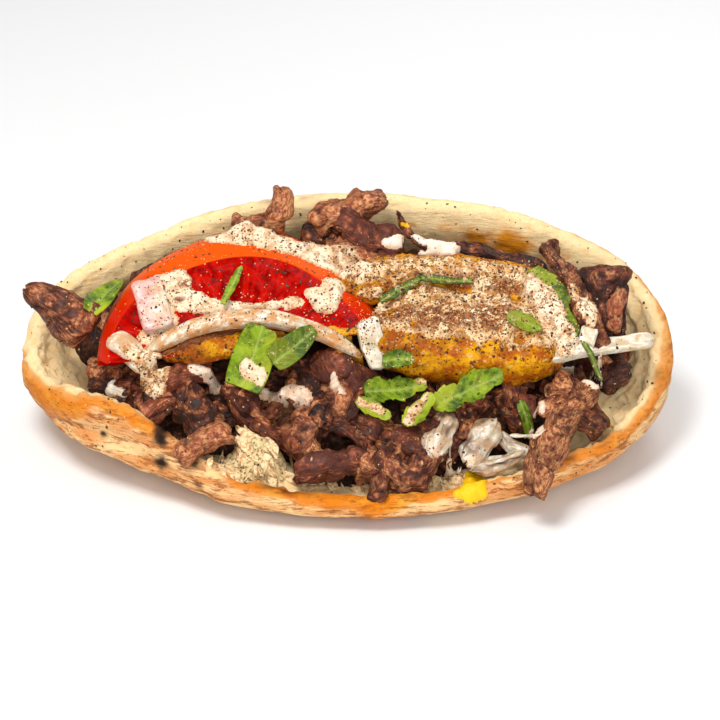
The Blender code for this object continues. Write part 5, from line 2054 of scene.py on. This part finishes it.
@dataclass(frozen=True)
class Sprinkle:
    """Grains or flakes strewn over the pile.

    Attributes:
        name: The piece's name.
        finish: Their finish.
        areas: Areas of (lowest u, highest u, lowest w, highest w, how many).
        sizes: Smallest and largest size.
        flat: Their thickness as a share of their width.
        only: Pieces that hold them, or every piece.
        seed: Picks other places.
    """

    name: str
    finish: FlakeFinish
    areas: tuple[Area, ...]
    sizes: tuple[float, float]
    flat: float = 0.5
    only: tuple[str, ...] = ()
    seed: int = 1

    CORNERS = np.array(((1, 0, 0), (0.5, 0.86, 0), (-0.5, 0.86, 0), (-1, 0, 0), (-0.5, -0.86, 0), (0.5, -0.86, 0),
                        (0, 0, 1), (0, 0, -1)))
    FACES = tuple([i, (i + 1) % 6, 6] for i in range(6)) + tuple([(i + 1) % 6, i, 7] for i in range(6))

    def build(self, ground: Surface) -> Piece:
        """Strews them.

        Args:
            ground: What they lie on.

        Returns:
            The piece.
        """
        draw = random.Random(self.seed)
        lumps = []
        for low_u, high_u, low_w, high_w, count in self.areas:
            for _ in range(count):
                found = ground.hit(draw.uniform(low_u, high_u), draw.uniform(low_w, high_w))
                if found is None or (self.only and not found[2].startswith(self.only)):
                    continue
                place, normal = found[0], found[1]
                size = self.sizes[0] + (self.sizes[1] - self.sizes[0]) * draw.random() ** 2
                turn = normal.to_track_quat("Z", "Y").to_matrix()
                turn = turn @ Matrix.Rotation(draw.uniform(0, 6.3), 3, "Z")
                turn = turn @ Matrix.Rotation(draw.uniform(-0.5, 0.5), 3, "X")
                uneven = np.array([[draw.uniform(0.55, 1.15)] for _ in range(8)])
                corners = self.CORNERS * uneven * np.array((size / 2, size * draw.uniform(0.3, 0.5),
                                                            size / 2 * self.flat))
                points = corners @ np.array(turn).T + np.array(place) + np.array(normal) * size * 0.12
                lumps.append(Lump(points, [list(face) for face in self.FACES], {}))
        LOG.info("%s: %d grains", self.name, len(lumps))
        made = Lump.joined(lumps).piece(self.name, self.finish.build())
        made.data.shade_flat()
        return made


SPRINKLES: tuple[Sprinkle, ...] = (
    Sprinkle("spice_black", FlakeFinish("pepper", rgb(34, 20, 14), rgb(78, 46, 24)),
             ((-88, 88, 2, 92, 800), (-58, 4, 42, 78, 170), (0, 64, 36, 70, 330)), (0.45, 1.15), 0.5, seed=2),
    Sprinkle("spice_rust", FlakeFinish("rust_spice", rgb(146, 82, 30), rgb(96, 52, 20)),
             ((0, 64, 38, 70, 1900), (-58, 6, 42, 78, 900)), (0.3, 0.75), 0.7,
             ("sauce", "aubergine", "onion", "leaf"), seed=3),
    Sprinkle("spice_pale", FlakeFinish("pale_spice", rgb(222, 160, 84), rgb(236, 200, 150)),
             ((0, 64, 38, 70, 900), (-58, 6, 42, 78, 400), (-80, 80, 5, 60, 500)), (0.3, 0.7), 0.7, seed=4),
)


@dataclass(frozen=True)
class TornCrumb:
    """Flakes of torn crumb, heaped behind the front lip at the left and strewn along it.

    Attributes:
        seed: Picks their places.
    """

    seed: int = 9

    FLAKES, HEAPED, HEAP_MIDDLE = 150, 70, -25

    def build(self, ground: Surface) -> Piece:
        """Lays them on the bread.

        Args:
            ground: The bread.

        Returns:
            The piece.
        """
        draw = random.Random(self.seed)
        lumps = []
        for number in range(self.FLAKES):
            heap = number < self.HEAPED
            if heap:
                u, w = draw.gauss(self.HEAP_MIDDLE, 6), draw.uniform(3, 23)
            else:
                u, w = draw.uniform(-12, 35), draw.uniform(2.5, 8.5)
            found = ground.hit(u, w)
            if found is None or heap and abs(u - self.HEAP_MIDDLE) > 13:
                continue
            turn, length = draw.gauss(2.0, 0.45 if heap else 1.2), draw.uniform(5, 10) * (1.0 if heap else 0.6)
            du, dw, tilt = length / 2 * math.cos(turn), length / 2 * math.sin(turn), draw.uniform(-0.6, 0.6)
            h = found[3] + draw.uniform(-0.6, 0.1)
            strip = Strip((u - du, w - dw, h - tilt), (u + du, w + dw, h + tilt), draw.uniform(1.6, 4.0),
                          draw.uniform(0.7, 1.3), draw.uniform(-1, 1), draw.uniform(-0.6, 1.0),
                          roll=draw.uniform(-50, 50), rough=0.5, grain=3.0, frayed=1.5, blunt=2.0,
                          seed=draw.randrange(900))
            lumps.append(strip.lump(30 if heap else 18, 18 if heap else 12, shred_relief))
        crumb = FlakeFinish("torn_crumb", rgb(242, 214, 166), rgb(200, 150, 92))
        return Lump.joined(lumps).piece("bread_torn", crumb.build(), Slot.BREAD, ["pita_bread"])


@dataclass(frozen=True)
class Shreds:
    """Thin white shreds of onion at the lower right.

    Attributes:
        seed: Picks their places.
    """

    seed: int = 5

    RUNS = ((24, 11, 26, 20), (28, 11, 30, 21), (34, 9, 42, 11), (37, 8, 48, 12), (44, 17, 51, 14))

    def build(self, ground: Surface) -> Piece:
        """Lays them on the pile.

        Args:
            ground: What they lie on.

        Returns:
            The piece.
        """
        draw = random.Random(self.seed)
        lumps = []
        for u0, w0, u1, w1 in self.RUNS:
            h0, h1 = (ground.hit(u, w) for u, w in ((u0, w0), (u1, w1)))
            middle = ground.hit((u0 + u1) / 2, (w0 + w1) / 2)
            low, high = h0[3] + 0.2, h1[3] + 0.2
            arch = middle[3] + 0.4 - (low + high) / 2
            strip = Strip((u0, w0, low), (u1, w1, high), draw.uniform(1.0, 1.7), draw.uniform(0.8, 1.2),
                          draw.uniform(-1.0, 1.0), max(-1.0, min(2.5, arch)), rough=0.5, grain=3.0,
                          seed=draw.randrange(100, 400))
            lumps.append(strip.lump(40, 12, onion_relief))
            lumps[-1].fields["dusty"] = 0 * lumps[-1].fields["deep"] + 0.5
            # The shreds get painted shade all over, on top of that in their creases.
            lumps[-1].fields["deep"] = np.clip(lumps[-1].fields["deep"] + 0.2, 0, 1)
        return Lump.joined(lumps).piece("onion_shreds", OnionFinish().build(), Slot.ONION)


# ------------------------------------------------------------------ stage


@dataclass
class Stage:
    """The table, the light and the camera."""

    # Name, place and side in millimetres, and power in watts.
    LIGHTS = (("key", (-190, -190, 670), 260, 3.5), ("front", (120, -640, 330), 420, 2.2),
              ("back", (200, 420, 460), 260, 1.0))

    def build(self) -> None:
        """Makes the stage round the object."""
        self._table()
        self._world()
        for light in self.LIGHTS:
            self._area(*light)
        self._camera()

    @staticmethod
    def _table() -> None:
        """A wide floor under the object."""
        mesh = bpy.data.meshes.new("table_top")
        far = FLOOR_REACH
        mesh.from_pydata([(-far, -far, 0), (far, -far, 0), (far, far, 0), (-far, far, 0)], [], [(0, 1, 2, 3)])
        mesh.materials.append(TableFinish().build())
        floor = bpy.data.objects.new("table_top", mesh)
        bpy.context.scene.collection.objects.link(floor)
        floor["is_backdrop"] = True

    @staticmethod
    def _world() -> None:
        """Even white light from all round."""
        world = bpy.data.worlds.new("studio")
        world.use_nodes = True
        background = world.node_tree.nodes["Background"]
        background.inputs["Color"].default_value = (1.0, 1.0, 1.0, 1.0)
        background.inputs["Strength"].default_value = SKY_STRENGTH
        scene = bpy.context.scene
        scene.world = world
        scene.view_settings.view_transform = "Standard"
        scene.view_settings.look = "None"

    @staticmethod
    def _area(name: str, place: Triple, size: float, power: float) -> None:
        """A square soft light that faces the object.

        Args:
            name: Its name.
            place: Its place in millimetres.
            size: Length of its side in millimetres.
            power: Its power in watts.
        """
        light = bpy.data.lights.new(name, "AREA")
        light.energy, light.size = power, size * MM
        made = bpy.data.objects.new(name, light)
        made.location = Vector(place) * MM
        made.rotation_euler = (Vector(CAMERA_TARGET) * MM - made.location).to_track_quat("-Z", "Y").to_euler()
        bpy.context.scene.collection.objects.link(made)

    @staticmethod
    def _camera() -> None:
        """The camera in front of the open side, looking down on it."""
        camera = bpy.data.cameras.new("camera")
        camera.lens, camera.sensor_width = CAMERA_LENS, CAMERA_SENSOR
        camera.clip_start, camera.clip_end = CAMERA_CLIP
        made = bpy.data.objects.new("camera", camera)
        back = Vector((0.0, -math.cos(CAMERA_ELEVATION), math.sin(CAMERA_ELEVATION)))
        made.location = (Vector(CAMERA_TARGET) + back * CAMERA_DISTANCE) * MM
        made.rotation_euler = (-back).to_track_quat("-Z", "Y").to_euler()
        bpy.context.scene.collection.objects.link(made)
        bpy.context.scene.camera = made


def write_sizes(solid: tuple[Vector, Vector]) -> None:
    """Logs the solid's box and the looks' box.

    Args:
        solid: Lowest and highest corner of the solid.
    """
    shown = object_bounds()
    boxes = {"cad_box": [list(corner) for corner in solid], "visual_box": [list(corner) for corner in shown]}
    for name, corners in boxes.items():
        LOG.info("%s %s", name, [[round(c * 1000, 1) for c in corner] for corner in corners])


def main() -> None:
    """Builds every part of the picture in order."""
    logging.basicConfig(level=logging.INFO, format="%(name)s %(message)s")
    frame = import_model()
    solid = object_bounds()
    shape = BreadShape()
    bread = Bread(shape).build()
    LOG.info("bread: %d faces", len(bread.data.polygons))
    vegetables = Vegetables().build()
    meat = Meat(shape).build([piece for piece in vegetables if piece.name.startswith("onion_low")])
    LOG.info("meat: %d pieces", len(meat))
    tomato = Tomato().build()
    LOG.info("vegetables: %d pieces", len(vegetables) + 1)
    leaves = Parsley(frame["nodes"]).build()
    LOG.info("leaves: %d pieces", len(leaves))
    pile = [bread, *meat, tomato, *vegetables, *leaves]
    pile += [Shreds().build(Surface(pile)), TornCrumb().build(Surface([bread]))]
    ground = Surface(pile)
    sauces = []
    for sauce in SAUCES:
        held = [piece for piece in pile if piece.name.startswith(sauce.on)]
        sauces.append(sauce.build(Surface(held) if sauce.on else ground))
    LOG.info("sauces: %d pieces", len(sauces))
    ground = Surface([*pile, *sauces])
    for sprinkle in SPRINKLES:
        sprinkle.build(ground)
    Stage().build()
    write_sizes(solid)


if __name__ == "__main__":
    main()
